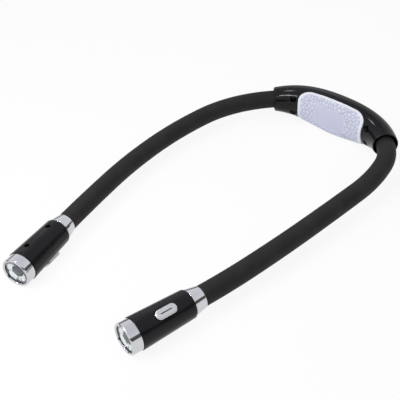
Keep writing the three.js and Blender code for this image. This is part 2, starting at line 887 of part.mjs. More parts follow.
// The room inside the barrel, a little into its wall, which trims what grows from the wall
function barrelRoom() {
  const depth = barrelWall / 2;
  const begin = barrelStart + barrelRearWall / 2;
  return solid(
    turned(
      [
        [0, begin],
        [barrelRadiusAt(begin) - depth, begin],
        [barrelFrontDiameter / 2 - depth, barrelEnd],
        [0, barrelEnd],
      ],
      headSides,
    ),
  );
}

// Turns +Y to the way a head screw points, at its place along the barrel
function headScrewMatrix(place) {
  return moved(0, place, 0)
    .multiply(new THREE.Matrix4().makeRotationY(headScrewTurn))
    .multiply(new THREE.Matrix4().makeRotationX(-quarterTurn));
}

// Half of the barrel: +1 on the side that the screws enter, -1 on the button's side
function barrelHalf(side) {
  const half = solid(
    new THREE.BoxGeometry(overrun * 2, overrun * 2, overrun * 2),
    new THREE.Matrix4()
      .makeRotationY(headScrewTurn)
      .multiply(moved(0, 0, side * (overrun + clearance / 2))),
  );
  const room = barrelRoom();
  let shell = barrelShell().intersect(half);
  for (const place of headScrewPlaces) {
    const matrix = headScrewMatrix(place);
    const post = bar(headPostRadius, -overrun, overrun, matrix);
    shell = shell.add(post.intersect(room).intersect(half));
  }
  for (const place of headScrewPlaces) {
    const matrix = headScrewMatrix(place);
    const pilotEnd = headScrewLength - headScrewSeat + clearance;
    shell = shell
      .subtract(bar(headScrewHeadDiameter / 2 + headScrewHeadRoom, -overrun, -headScrewSeat, matrix))
      .subtract(bar(headScrewDiameter / 2 + clearance, -overrun, pilotEnd, matrix));
  }
  if (side > 0) return shell;
  const gap = clearance * 2;
  const opening = stadium(buttonLength + gap, buttonWidth + gap, overrun);
  return shell.subtract(solid(opening, moved(0, buttonPlace, 0)));
}

function button() {
  const cap = solid(
    stadium(buttonLength, buttonWidth, buttonTop - flangeBottom),
    moved(0, buttonPlace, flangeBottom),
  );
  const flange = solid(
    stadium(buttonLength + buttonFlange * 2, flangeHalfWidth * 2, buttonFlangeThickness),
    moved(0, buttonPlace, flangeBottom),
  );
  const half = buttonGrooveWidth / 2;
  const reach = buttonGrooveLength / 2;
  const floor = buttonTop - buttonGrooveDepth;
  const groove = box(-half, half, buttonPlace - reach, buttonPlace + reach, floor, overrun);
  return cap.add(flange).subtract(groove);
}

function pushSwitch() {
  const half = switchSide / 2;
  const bodyTop = switchBottom + switchHeight;
  const body = box(-half, half, buttonPlace - half, buttonPlace + half, switchBottom, bodyTop);
  const standing = moved(0, buttonPlace, 0).multiply(new THREE.Matrix4().makeRotationX(quarterTurn));
  return body.add(bar(plungerDiameter / 2, switchBottom + switchHeight / 2, plungerTop, standing));
}

// The board has a slot in its rear end for the wires
function circuitBoard() {
  const half = boardHalfWidth;
  const board = box(-half, half, boardRear, boardFront, boardBottom, boardTop);
  const slotHalf = boardSlotWidth / 2;
  const slotEnd = boardRear + boardSlotLength;
  return board.subtract(box(-slotHalf, slotHalf, -overrun, slotEnd, -overrun, overrun));
}

function bezel() {
  const outer = bezelDiameter / 2;
  const lensBore = lensDiameter / 2 + clearance;
  return turned(
    [
      [spigotBore, spigotStart],
      [spigotRadius, spigotStart],
      [spigotRadius, bezelStart],
      [outer, bezelStart],
      [outer, headLength - bezelLip],
      [outer - bezelLip, headLength],
      [outer - bezelRim, headLength],
      [lensBore, lensFront],
      [lensBore, lensSeat],
      [spigotBore, lensSeat],
    ],
    headSides,
  );
}

function lens() {
  const radius = lensDiameter / 2;
  return turned(
    [
      [0, lensBack],
      [radius, lensBack],
      [radius, lensFront - lensEdgeDrop],
      [radius * lensShoulderShare, lensFront - lensShoulderDrop],
      [0, lensFront],
    ],
    headSides,
  );
}

// A block with a bowl in it whose rim has four lobes
function reflector() {
  const throat = reflectorThroat / 2;
  const bowl = spread(0, 1, reflectorRings).map((share) => ({
    radius: throat + (reflectorMouth - throat) * Math.sqrt(share),
    place: reflectorStart + reflectorLength * share,
    lobe: reflectorLobeShare * Math.sqrt(share),
  }));
  const outline = [
    { radius: reflectorRadius, place: reflectorEnd, lobe: 0 },
    { radius: reflectorRadius, place: reflectorStart, lobe: 0 },
    ...bowl,
  ];
  const place = (point, angle) => {
    const radius = point.radius * (1 + point.lobe * Math.cos(reflectorLobes * angle));
    return new THREE.Vector3(radius * Math.cos(angle), point.place, radius * Math.sin(angle));
  };
  const angles = spread(0, fullTurn, reflectorSides).slice(0, -1);
  return sweep(outline, angles, place, { joined: true });
}

function lightModule() {
  const outline = [
    [0, lightBoardBack],
    [reflectorRadius, lightBoardBack],
    [reflectorRadius, lightBoardFront],
    [0, lightBoardFront],
  ];
  const board = solid(turned(outline, headSides));
  const half = lightChipSide / 2;
  const middle = lightBoardFront - lightBoardThickness / 2;
  return board.add(box(-half, half, middle, lightBoardFront + lightChipHeight, -half, half));
}

function headScrew(place) {
  const shape = screw(
    headScrewDiameter,
    headScrewHeadDiameter,
    headScrewHeadHeight,
    headScrewLength,
  );
  return shape.applyMatrix4(
    headScrewMatrix(place).multiply(moved(0, -headScrewSeat - clearance, 0)),
  );
}

function lampHead(arm) {
  const group = new THREE.Group();
  const { at, forward } = routeFrame(arm, armLength(arm));
  const named = (name, shape, material) => piece(`${arm.name}_${name}`, shape, material);
  const rolled = new THREE.Group();
  rolled.rotation.y = quarterTurn - arm.buttonTurn;
  rolled.add(
    named("collar", collar(), chrome),
    named("button_half", barrelHalf(-1), glossBlack),
    named("screw_half", barrelHalf(1), glossBlack),
    named("bezel", bezel(), chrome),
    named("lens", lens(), clearLens),
    named("reflector", reflector(), chrome),
    named("light_module", lightModule(), lightBoardWhite),
    named("circuit_board", circuitBoard(), boardGreen),
    named("switch", pushSwitch(), switchBlack),
    named("button", button(), satinSilver),
  );
  headScrewPlaces.forEach((place, i) => {
    rolled.add(named(`head_screw_${i + 1}`, headScrew(place), steel));
  });
  group.add(rolled);
  group.position.copy(at);
  group.rotation.z = Math.atan2(-forward.x, forward.y);
  return group;
}

// One arm with its head, tipped about the housing's ends until the head meets the ground

const armHeight = housingHalfHeight - baseFlatDepth;

function armGroup(arm) {
  const group = new THREE.Group();
  arm.lengths.forEach((_, i) => {
    group.add(
      piece(`${arm.name}_sleeve_${i + 1}`, sleeveSection(arm, i), sleeveBlack),
      piece(`${arm.name}_gooseneck_${i + 1}`, gooseneckSection(arm, i), steel),
    );
  });
  group.add(piece(`${arm.name}_gooseneck_clamp`, gooseneckClamp(arm), steel), lampHead(arm));
  const lowest = routeFrame(arm, armLength(arm) + barrelEnd).at;
  group.rotation.x = Math.asin((armHeight - barrelFrontDiameter / 2) / -lowest.y);
  return group;
}

const light = new THREE.Group();
const raised = new THREE.Group();
raised.position.set(0, -housingMiddle, armHeight);
raised.add(housing(), ...arms.map(armGroup));
light.add(raised);

export default light;
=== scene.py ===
"""The looks of a reading light worn round the neck, built on its CAD frame.

Lengths are in metres. X runs from the wearer's one side to the other, the heads point
towards -Y and Z is up, as in the frame. Each operator builds one group of pieces.
"""

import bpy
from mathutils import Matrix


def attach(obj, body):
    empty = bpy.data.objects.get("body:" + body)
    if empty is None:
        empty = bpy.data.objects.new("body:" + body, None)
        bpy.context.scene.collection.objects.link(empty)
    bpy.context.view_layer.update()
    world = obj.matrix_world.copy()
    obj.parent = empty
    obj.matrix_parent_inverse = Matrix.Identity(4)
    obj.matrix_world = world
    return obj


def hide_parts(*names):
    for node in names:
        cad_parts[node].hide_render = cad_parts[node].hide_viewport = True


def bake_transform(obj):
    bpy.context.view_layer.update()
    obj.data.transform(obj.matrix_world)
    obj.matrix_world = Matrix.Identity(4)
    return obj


bl_info = {
    "name": "Neck Reading Light",
    "version": (1, 0, 0),
    "blender": (4, 5, 0),
    "location": "View3D > Sidebar > Reading Light",
    "description": "Builds the housing, pad, arms and heads of a neck reading light",
    "category": "Add Mesh",
}

import functools
import math

import bmesh
import bpy
import numpy as np
from bpy.props import FloatProperty, FloatVectorProperty, IntProperty, PointerProperty
from mathutils import Euler, Matrix, Vector, kdtree

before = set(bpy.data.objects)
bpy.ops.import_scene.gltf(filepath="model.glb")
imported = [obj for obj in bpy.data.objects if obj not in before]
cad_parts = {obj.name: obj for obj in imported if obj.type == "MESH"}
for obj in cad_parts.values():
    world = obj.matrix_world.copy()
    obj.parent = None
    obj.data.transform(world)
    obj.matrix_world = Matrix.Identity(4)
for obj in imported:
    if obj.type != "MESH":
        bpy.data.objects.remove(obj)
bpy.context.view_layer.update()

FULL_TURN = 2 * math.pi
QUARTER_TURN = math.pi / 2
# Farther than any wall is thick, for the tools that cut right through
THROUGH = 0.03
# Points that lie closer than this are one point
JOINED = 2e-7
# A distance that is less than any step between two faces
HAIR = 0.00001
# Facets round a tool, a visible hole and a sleeve or cell
TOOL_SIDES, HOLE_SIDES, ROUND_SIDES = 32, 48, 64


def length(name, description, default):
    """A size in metres."""
    return FloatProperty(
        name=name, description=description, default=default, precision=5, unit="LENGTH"
    )


def angle(name, description, degrees):
    """A turn, written here in degrees."""
    default = math.radians(degrees)
    return FloatProperty(
        name=name, description=description, default=default, unit="ROTATION"
    )


def amount(name, description, default, top=1.0):
    """A share or a strength."""
    return FloatProperty(
        name=name,
        description=description,
        default=default,
        min=0.0,
        max=top,
        precision=3,
    )


def colour(name, description, default):
    """A linear colour."""
    return FloatVectorProperty(
        name=name, description=description, default=default, size=3, subtype="COLOR"
    )


# Settings


class HousingSettings(bpy.types.PropertyGroup):
    """Sizes and finish of the curved housing."""

    span: length("Span", "From one end to the other, along X", 0.100)
    half_turn: angle("Half turn", "Turn from the middle to one end", 45)
    draw_in: length("Draw in", "How far the middle lies inside the end's arc", 0.0086)
    half_height: length("Half height", "Half of the height at the middle", 0.0154)
    half_depth: length("Half depth", "Half of the depth at the middle", 0.0108)
    end_radius: length("End radius", "Radius of the round ends", 0.009)
    squareness: amount("Squareness", "How square the middle section is", 0.3)
    wall: length("Wall", "Thickness of the shells", 0.0017)
    lip_wall: length("Lip", "Thickness of the thin lip at each end", 0.0009)
    lip_run: length("Lip run", "How far the lip tapers", 0.0045)
    base_flat: length("Base flat", "Depth of the flat under the middle", 0.0005)
    seam_turn: angle("Seam", "Where the shells meet, from the back", 98)
    seam_gap: length("Seam gap", "Width of the line between the shells", 0.0003)
    edge: length("Edge", "Rounding of the shells' edges", 0.00025)
    screw_across: length("Screw place", "How far out the screws lie", 0.03215)
    screw_rise: length("Screw rise", "Height of the screws off the middle", 0.0058)
    screw_recess: length("Screw recess", "Depth of the screws' seats", 0.0027)
    black: colour("Black", "Colour of the gloss plastic", (0.0045, 0.0045, 0.0055))
    roughness: amount("Roughness", "Roughness of the gloss plastic", 0.09)


class BaySettings(bpy.types.PropertyGroup):
    """Sizes and finish of what lies in the battery bay."""

    cell_length: length("Cell length", "Length of one cell", 0.0445)
    cell_diameter: length("Cell diameter", "Diameter of one cell", 0.0105)
    cell_pitch: length("Cell pitch", "Distance between the two cells", 0.0111)
    cell_depth: length("Cell depth", "How far back the cells lie", 0.0123107)
    jacket: colour("Jacket", "Colour of the cells' jackets", (0.022, 0.055, 0.16))
    band: colour("Band", "Colour of the bands at both ends", (0.42, 0.27, 0.10))


class PadSettings(bpy.types.PropertyGroup):
    """Sizes and finish of the pad on the neck side."""

    half_length: length("Half length", "Half of the length along X", 0.02835)
    half_turn: angle("Half turn", "Turn round the housing to its edge", 68)
    corner: length("Corner", "Radius of the corners", 0.010)
    thickness: length("Thickness", "Thickness of the pad", 0.0014)
    proud: length("Proud", "How far the rim stands off the housing", 0.0006)
    rim: length("Rim", "Width of the smooth rim", 0.0019)
    sunk: length("Sunk", "How far the field lies under the rim", 0.00075)
    grain: length("Grain", "Size of the pebbles", 0.003)
    grain_height: length("Grain height", "Height of the pebbles", 0.0005)
    oval_length: amount("Oval length", "Smooth oval, as a share of the length", 0.52)
    oval_height: amount("Oval height", "Smooth oval, as a share of the height", 0.45)
    lilac: colour("Lilac", "Colour of the pad", (0.72, 0.735, 0.87))
    middle: colour("Middle", "Colour of the smooth oval", (0.61, 0.62, 0.79))
    # Painted shade: the colour between the pebbles
    crevice_shade: colour("Hollow", "Colour between the pebbles", (0.34, 0.38, 0.52))
    # Painted highlight: the colour of the raised rim
    rim_highlight: colour("Pale", "Colour of the raised rim", (0.86, 0.87, 0.95))


class ArmSettings(bpy.types.PropertyGroup):
    """Sizes and finish of the two sleeved arms."""

    sleeve: length("Sleeve", "Diameter of the sleeves", 0.013)
    bore: length("Bore", "Diameter inside the sleeves", 0.0068)
    entry: length("Entry", "How far a sleeve goes into the housing", 0.006)
    black: colour("Black", "Colour of the sleeves", (0.0155, 0.0138, 0.0142))
    roughness: amount("Roughness", "Roughness of the sleeves", 0.62)
    grain: amount("Grain", "Depth of the rubber's grain", 0.35)


class HeadSettings(bpy.types.PropertyGroup):
    """Sizes and finish of the lamp heads."""

    collar_rear: length("Collar rear", "Diameter of the collar at the sleeve", 0.0139)
    collar_front: length("Collar front", "Diameter of the collar's front end", 0.0168)
    collar_length: length("Collar length", "Length of the collar", 0.0085)
    barrel_rear: length("Barrel rear", "Diameter of the barrel's rear end", 0.018)
    barrel_front: length("Barrel front", "Diameter of the barrel's front end", 0.0206)
    barrel_length: length("Barrel length", "Length of the barrel", 0.0366)
    barrel_wall: length("Barrel wall", "Thickness of the barrel", 0.0015)
    bezel: length("Bezel", "Diameter of the bezel", 0.0198)
    bezel_length: length("Bezel length", "Length of the bezel", 0.0068)
    lens: length("Lens", "Diameter of the lens", 0.0158)
    lens_recess: length("Lens recess", "Depth of the lens in the bezel", 0.0006)
    lens_wall: length("Lens wall", "Thickness of the lens", 0.0004)
    lens_seat: length("Lens seat", "Depth of the shelf under the reflector", 0.0024)
    reflector_length: length("Reflector length", "Length of the reflector", 0.007)
    board: length("Light board", "Thickness of the light board", 0.0012)
    wire_room: length("Wire room", "Room for wires behind the light board", 0.0012)
    throat: length("Throat", "Radius of the reflector's throat", 0.0041)
    dish: length("Dish", "Depth of the reflector's dish", 0.0012)
    mouth: length("Mouth", "Radius of the reflector's mouth", 0.0063)
    lobe: amount("Lobe", "Depth of the mouth's lobes", 0.13)
    chip: length("Chip", "Side of the light chip", 0.0056)
    chip_recess: length("Chip recess", "Depth of the chip in the reflector", 0.0003)
    post: length("Post", "Radius of the screw posts", 0.0023)
    post_forward: length("Post place", "From the collar to the rear post", 0.0028)
    gap: length("Gap", "Gap between neighbours", 0.0003)
    button_width: length("Button width", "Width of the push button", 0.006)
    button_proud: length("Button proud", "How far the button stands out", 0.0012)
    groove: length("Groove", "Width of the button's groove", 0.00065)
    groove_depth: length("Groove depth", "Depth of the button's groove", 0.0005)
    groove_length: length("Groove length", "Length of the button's groove", 0.0075)
    screw_turn: angle("Screw turn", "Where the screws enter, from the button", 140)
    sides: IntProperty(
        name="Sides", description="Facets round a head", default=96, min=24
    )
    black: colour("Black", "Colour of the barrels", (0.0042, 0.0041, 0.0056))
    roughness: amount("Roughness", "Roughness of the barrels", 0.26)
    chrome: colour("Chrome", "Colour of the collars and bezels", (0.625, 0.625, 0.65))
    silver: colour("Silver", "Colour of the buttons", (0.68, 0.68, 0.685))


class StageSettings(bpy.types.PropertyGroup):
    """The camera, floor, lamps and surroundings."""

    lens: FloatProperty(name="Lens", description="Focal length in mm", default=76.5)
    camera_at: FloatVectorProperty(
        name="Camera",
        description="Where the camera stands",
        default=(0.30687, -0.4528, 0.3482),
        subtype="TRANSLATION",
    )
    camera_turn: FloatVectorProperty(
        name="Camera turn",
        description="Which way the camera faces",
        default=[math.radians(turn) for turn in (52.86034, 2.36912, 43.36927)],
        subtype="EULER",
    )
    floor: colour("Floor", "Colour of the floor", (0.96, 0.96, 0.96))
    white: amount("White", "How far the floor shows as plain white", 0.9)
    ambient: amount("Ambient", "Level of the even light", 0.5, 4.0)
    key: amount("Key", "Level of the large lamp ahead, in watts", 0.2, 50.0)
    spark: amount("Spark", "Level of the small lamp above, in watts", 0.25, 50.0)
    glint: amount("Glint", "Level of the strip lamp ahead, in watts", 1.3, 50.0)


GROUPS = {
    "housing": HousingSettings,
    "bay": BaySettings,
    "pad": PadSettings,
    "arm": ArmSettings,
    "head": HeadSettings,
    "stage": StageSettings,
}


def settings(group):
    return getattr(bpy.context.scene, f"reading_light_{group}")


# Shader maths


class Shade:
    """A socket of a finish, so that shader maths reads as plain expressions."""

    def __init__(self, finish, socket):
        self.finish = finish
        self.socket = socket

    def __add__(self, other):
        return self.finish.maths("ADD", self, other)

    __radd__ = __add__

    def __sub__(self, other):
        return self.finish.maths("SUBTRACT", self, other)

    def __rsub__(self, other):
        return self.finish.maths("SUBTRACT", other, self)

    def __mul__(self, other):
        return self.finish.maths("MULTIPLY", self, other)

    __rmul__ = __mul__

    def __neg__(self):
        return 0 - self

    def __abs__(self):
        return self.finish.maths("ABSOLUTE", self)

    def eased(self, low, high):
        """0 at low, 1 at high, and smooth between them."""
        return self.finish.node(
            "ShaderNodeMapRange",
            {"interpolation_type": "SMOOTHSTEP"},
            {"Value": self, "From Min": low, "From Max": high},
        )


class Finish:
    """One node tree, built node by node."""

    def __init__(self, tree, output):
        self.tree = tree
        self.tree.nodes.clear()
        self.output = self.tree.nodes.new(output)

    def node(self, kind, choices=None, sockets=None, output=0):
        """A node, with its choices set before the values or links of its sockets."""
        made = self.tree.nodes.new(kind)
        for key, value in (choices or {}).items():
            if key == "stops":
                self._stops(made.color_ramp, value)
            else:
                setattr(made, key, value)
        for key, value in (sockets or {}).items():
            self._feed(made.inputs[key], value)
        return Shade(self, made.outputs[output])

    def _stops(self, ramp, stops):
        while len(ramp.elements) < len(stops):
            ramp.elements.new(0.5)
        for element, (place, tint) in zip(ramp.elements, stops):
            element.position = place
            element.color = (*tint, 1)

    def _feed(self, socket, value):
        if isinstance(value, Shade):
            self.tree.links.new(value.socket, socket)
        elif socket.type == "RGBA":
            socket.default_value = (*value, 1)
        else:
            socket.default_value = value

    def maths(self, operation, *values):
        sockets = dict(enumerate(values))
        return self.node("ShaderNodeMath", {"operation": operation}, sockets)

    def mix(self, share, low, high):
        """A colour between two colours."""
        sockets = {0: share, 6: low, 7: high}
        return self.node("ShaderNodeMix", {"data_type": "RGBA"}, sockets, output=2)

    def blend(self, share, low, high):
        """A shader between two shaders."""
        return self.node("ShaderNodeMixShader", sockets={0: share, 1: low, 2: high})

    def place(self):
        """Where a point lies on the object at rest."""
        return self.node("ShaderNodeTexCoord", output="Object")

    def along(self, vector, axis):
        """The X, Y or Z of a vector, for an axis of 0, 1 or 2."""
        return self.node("ShaderNodeSeparateXYZ", sockets={0: vector}, output=axis)

    def ray(self, kind):
        """1 for a ray of a kind, else 0."""
        return self.node("ShaderNodeLightPath", output=f"Is {kind} Ray")

    def value_of(self, name):
        """A value kept on the points or faces of the mesh."""
        return self.node("ShaderNodeAttribute", {"attribute_name": name}, output="Fac")

    def noise(self, scale, detail=3, roughness=0.5):
        sockets = {"Vector": self.place(), "Scale": scale}
        sockets.update({"Detail": detail, "Roughness": roughness})
        return self.node("ShaderNodeTexNoise", sockets=sockets)

    def cells(self, scale):
        """How far a point lies from the edges of a net of cells."""
        choices = {"feature": "DISTANCE_TO_EDGE"}
        sockets = {"Vector": self.place(), "Scale": scale}
        return self.node("ShaderNodeTexVoronoi", choices, sockets)

    def bump(self, height, depth, strength):
        """A normal for a height from 0 to 1 that stands for a depth in metres."""
        sockets = {"Height": height, "Distance": depth, "Strength": strength}
        return self.node("ShaderNodeBump", sockets=sockets)

    def surface(self, tint, roughness, **more):
        """A surface shader. Other sockets are named with underscores."""
        named = {key.replace("_", " "): value for key, value in more.items()}
        sockets = {"Base Color": tint, "Roughness": roughness, **named}
        return self.node("ShaderNodeBsdfPrincipled", sockets=sockets)

    def show(self, shader):
        self.tree.links.new(shader.socket, self.output.inputs["Surface"])

    def coat(self, tint, roughness, normal, **more):
        """Shows a surface of this colour, roughness and normal."""
        self.show(self.surface(tint, roughness, Normal=normal, **more))


def new_finish(name):
    """A new material and the finish that fills it."""
    material = bpy.data.materials.new(name)
    material.use_nodes = True
    return material, Finish(material.node_tree, "ShaderNodeOutputMaterial")


@functools.cache
def finish(maker):
    """The material that a maker describes, made once."""
    material, made = new_finish(maker.__name__)
    maker(made)
    return material


def darker(tint, share):
    """A colour times a share, which may also be above 1."""
    return tuple(share * part for part in tint)


def gloss_black(f):
    """Polished moulded plastic with a faint orange peel and a few wiping marks."""
    s = settings("housing")
    smear = f.noise(55, 4, 0.6).eased(0.35, 0.75)
    tint = f.mix(f.noise(30), s.black, darker(s.black, 1.5))
    peel = f.bump(f.noise(420, 2), 0.00002, 0.35)
    f.coat(tint, s.roughness + smear * 0.06, peel, IOR=1.3)


def satin_black(f):
    """Finely sparked moulded plastic of the barrels."""
    s = settings("head")
    spark = f.noise(5200, 2, 0.6)
    wear = f.noise(90, 4, 0.6).eased(0.4, 0.8)
    tint = f.mix(wear, s.black, darker(s.black, 1.7))
    roughness = s.roughness + wear * 0.06 + spark * 0.04
    f.coat(tint, roughness, f.bump(spark, 0.000012, 0.3), IOR=1.3)


def sleeve_rubber(f):
    """Matt rubber sleeve with a fine grain and paler rubbed streaks."""
    s = settings("arm")
    grain = f.noise(3800, 3, 0.65)
    rubbed = f.noise(70, 4, 0.6).eased(0.42, 0.75)
    tint = f.mix(rubbed, s.black, darker(s.black, 1.35))
    roughness = s.roughness + grain * 0.12 - rubbed * 0.05
    f.coat(tint, roughness, f.bump(grain, 0.00004, s.grain), IOR=1.32)


def soft_lilac(f):
    """Soft pad: painted shade darkens it between its pebbles, it is darker on its oval,
    and a painted highlight makes its rim paler.
    """
    s = settings("pad")
    high = f.value_of("pebble")
    cloud = f.noise(160, 3).eased(0.3, 0.7)
    # Painted shade between the pebbles, where the pebble value is low
    tint = f.mix(f.value_of("oval"), f.mix(high, s.crevice_shade, s.lilac), s.middle)
    # Painted highlight on the rim
    tint = f.mix(f.value_of("rim"), tint, s.rim_highlight)
    tint = f.mix(cloud * 0.2, tint, darker(s.lilac, 0.93))
    grain = f.noise(6500, 2)
    roughness = 0.46 + grain * 0.1 + (1 - high) * 0.12
    f.coat(tint, roughness, f.bump(grain, 0.00001, 0.35), IOR=1.42)


def door_plastic(f):
    """Pale moulded door under the pad."""
    grain = f.noise(3000, 2)
    tint = f.mix(f.noise(200), (0.45, 0.45, 0.56), (0.5, 0.5, 0.6))
    f.coat(tint, 0.5 + grain * 0.12, f.bump(grain, 0.00002, 0.4))


def chrome(f):
    """Bright plating with faint polishing marks."""
    s = settings("head")
    polish = f.noise(260, 5, 0.65)
    tint = f.mix(polish.eased(0.3, 0.8), s.chrome, darker(s.chrome, 0.95))
    f.coat(tint, 0.06 + polish * 0.05, f.bump(polish, 0.000008, 0.2), Metallic=1.0)


def satin_silver(f):
    """Satin plated button with a fine bead-blasted grain, and painted shade in its
    groove.
    """
    s = settings("head")
    grain = f.noise(5200, 3, 0.6)
    cut = f.value_of("groove")
    plating = f.mix(grain, darker(s.silver, 0.9), s.silver)
    # Painted shade: the groove's faces turn near black and lose their metal
    tint = f.mix(cut, plating, darker(s.silver, 0.05))
    f.coat(tint, 0.27 + grain * 0.1, f.bump(grain, 0.00001, 0.3), Metallic=1.0 - cut)


def reflector_plating(f):
    """Vacuum plated bowl with a slight ripple, black between its lobes."""
    ripple = f.noise(700, 2)
    land = f.value_of("land")
    plating = f.mix(ripple, (0.86, 0.87, 0.88), (0.93, 0.93, 0.94))
    tint = f.mix(land, plating, (0.006, 0.006, 0.007))
    normal = f.bump(ripple, 0.00003, 0.4)
    f.coat(tint, 0.1 + ripple * 0.06, normal, Metallic=1.0 - land, IOR=1.15)


def clear_lens(f):
    """Thin clear plastic: it lets light straight through and shines at its edges."""
    haze = f.noise(300, 3)
    gloss = f.surface((0.9, 0.93, 0.95), 0.04 + haze * 0.04, Metallic=1.0)
    clear = f.node("ShaderNodeBsdfTransparent", sockets={"Color": (0.97, 0.98, 0.98)})
    edge = f.node("ShaderNodeFresnel", sockets={"IOR": 1.49})
    f.show(f.blend(edge * 0.15 + haze * 0.01, clear, gloss))


def steel(f):
    """Plain steel with fine drawn lines."""
    line = f.noise(2400, 4, 0.7)
    tint = f.mix(line, (0.28, 0.28, 0.29), (0.42, 0.42, 0.43))
    f.coat(tint, 0.3 + line * 0.15, f.bump(line, 0.00001, 0.4), Metallic=1.0)


def dark_steel(f):
    """Blackened screw steel, a little worn on its high spots."""
    worn = f.noise(1600, 4, 0.7).eased(0.5, 0.8)
    tint = f.mix(worn, (0.02, 0.02, 0.022), (0.06, 0.06, 0.062))
    f.coat(tint, 0.34 + worn * 0.12, f.bump(worn, 0.00001, 0.4), Metallic=1.0)


def contact_brass(f):
    """Pressed brass with a little tarnish."""
    tarnish = f.noise(420, 5, 0.65).eased(0.4, 0.75)
    tint = f.mix(tarnish, (0.62, 0.47, 0.2), (0.36, 0.26, 0.12))
    normal = f.bump(f.noise(1500), 0.00001, 0.3)
    f.coat(tint, 0.22 + tarnish * 0.25, normal, Metallic=1.0)


def cell_jacket(f):
    """Printed foil jacket of a cell: one colour with a plain band at each end."""
    s = settings("bay")
    band_from, band_edge = 0.0150, 0.0003
    from_middle = abs(f.along(f.place(), 0))
    foil = f.noise(900, 3)
    band = from_middle.eased(band_from, band_from + band_edge)
    tint = f.mix(foil * 0.2, f.mix(band, s.jacket, s.band), (0.3, 0.3, 0.33))
    f.coat(tint, 0.24 + foil * 0.14, f.bump(foil, 0.00002, 0.3), Metallic=0.35)


def board_green(f):
    """Solder mask over copper tracks."""
    track = f.cells(520).eased(0.03, 0.06)
    tint = f.mix(track, (0.05, 0.19, 0.07), (0.012, 0.075, 0.03))
    f.coat(tint, 0.32 + f.noise(3000, 2) * 0.15, f.bump(1 - track, 0.00003, 0.5))


def light_board(f):
    """Dark blue board whose raised chip has a dull yellow phosphor."""
    grain = f.noise(2500, 3)
    mask = f.mix(grain, (0.012, 0.016, 0.04), (0.022, 0.028, 0.06))
    tint = f.mix(f.value_of("chip"), mask, (0.045, 0.043, 0.022))
    f.coat(tint, 0.22 + grain * 0.15, f.bump(grain, 0.00001, 0.3), IOR=1.25)


def switch_black(f):
    """Plain black plastic of the push switches."""
    grain = f.noise(3200, 3)
    tint = f.mix(grain, (0.012, 0.012, 0.013), (0.022, 0.022, 0.024))
    f.coat(tint, 0.42 + grain * 0.15, f.bump(grain, 0.00002, 0.4))


# Meshes


def new_object(name, data):
    made = bpy.data.objects.new(name, data)
    bpy.context.scene.collection.objects.link(made)
    return made


def mesh_from(name, points, faces):
    """A mesh whose faces point out, with doubled points joined."""
    mesh = bpy.data.meshes.new(name)
    mesh.from_pydata([tuple(point) for point in points], [], faces)
    work = bmesh.new()
    work.from_mesh(mesh)
    bmesh.ops.remove_doubles(work, verts=work.verts, dist=JOINED)
    bmesh.ops.recalc_face_normals(work, faces=work.faces)
    if work.calc_volume(signed=True) < 0:
        bmesh.ops.reverse_faces(work, faces=work.faces)
    work.to_mesh(mesh)
    work.free()
    return mesh


def sweep(name, points, joined=True, capped=False):
    """A skin over rows of points. Each row closes, and the rows do too if joined."""
    points = np.asarray(points, dtype=float)
    rows, across = points.shape[:2]
    faces = []
    for j in range(rows if joined else rows - 1):
        here, there = j * across, ((j + 1) % rows) * across
        for i in range(across):
            k = (i + 1) % across
            faces.append((here + i, here + k, there + k, there + i))
    if capped:
        faces.append(tuple(range(across)))
        faces.append(tuple(range((rows - 1) * across, rows * across))[::-1])
    return new_object(name, mesh_from(name, points.reshape(-1, 3), faces))


def rounded(outline, steps=5):
    """A closed outline of (x, y, radius) corners, with each rounded to its radius."""
    made = []
    count = len(outline)
    for i, (x, y, radius) in enumerate(outline):
        here = Vector((x, y))
        back = Vector(outline[i - 1][:2]) - here
        on = Vector(outline[(i + 1) % count][:2]) - here
        if radius <= 0 or back.length == 0 or on.length == 0:
            made.append((x, y))
            continue
        half = back.angle(on) / 2
        room = 0.49 * min(back.length, on.length)
        reach = min(radius / math.tan(half), room)
        start, end = here + back.normalized() * reach, here + on.normalized() * reach
        for step in range(steps + 1):
            t = step / steps
            point = start.lerp(here, t).lerp(here.lerp(end, t), t)
            made.append((point.x, point.y))
    return made


def even_turns(count):
    return np.linspace(0, FULL_TURN, count, endpoint=False)


def stacked(x, y, z):
    """Points from their X, Y and Z, each of which may be spread over the others."""
    return np.stack(np.broadcast_arrays(x, y, z), axis=-1)


def spun(radius, place, turns):
    """Points about Y, with a row for each turn of a column of turns."""
    return stacked(radius * np.cos(turns), place, radius * np.sin(turns))


def turned(name, outline, sides, matrix=Matrix()):
    """A solid turned about Y from a closed outline of (radius, place, rounding)."""
    radius, place = np.array(rounded(outline)).T
    made = sweep(name, spun(radius, place, even_turns(sides)[:, None]))
    made.data.transform(matrix)
    return made


def rod(radius, start, end, matrix=Matrix(), sides=TOOL_SIDES):
    """A tool: a round bar along Y."""
    outline = [(0, start, 0), (radius, start, 0), (radius, end, 0), (0, end, 0)]
    return turned("tool", outline, sides, matrix)


def block(low, high):
    """A tool: a box between two corners."""
    corners = [(x, y, z) for x in (low[0], high[0]) for y in (low[1], high[1])
               for z in (low[2], high[2])]
    faces = [(0, 1, 3, 2), (4, 6, 7, 5), (0, 4, 5, 1),
             (2, 3, 7, 6), (0, 2, 6, 4), (1, 5, 7, 3)]
    return new_object("tool", mesh_from("tool", corners, faces))


def prism(outline, low, high):
    """A tool: an outline in X and Y between two heights."""
    rows = [[(x, y, z) for x, y in outline] for z in (low, high)]
    return sweep("tool", rows, joined=False, capped=True)


def settle(target):
    """Applies the modifiers of an object to its mesh."""
    graph = bpy.context.evaluated_depsgraph_get()
    mesh = bpy.data.meshes.new_from_object(target.evaluated_get(graph))
    old = target.data
    target.modifiers.clear()
    target.data = mesh
    mesh.name = target.name
    bpy.data.meshes.remove(old)


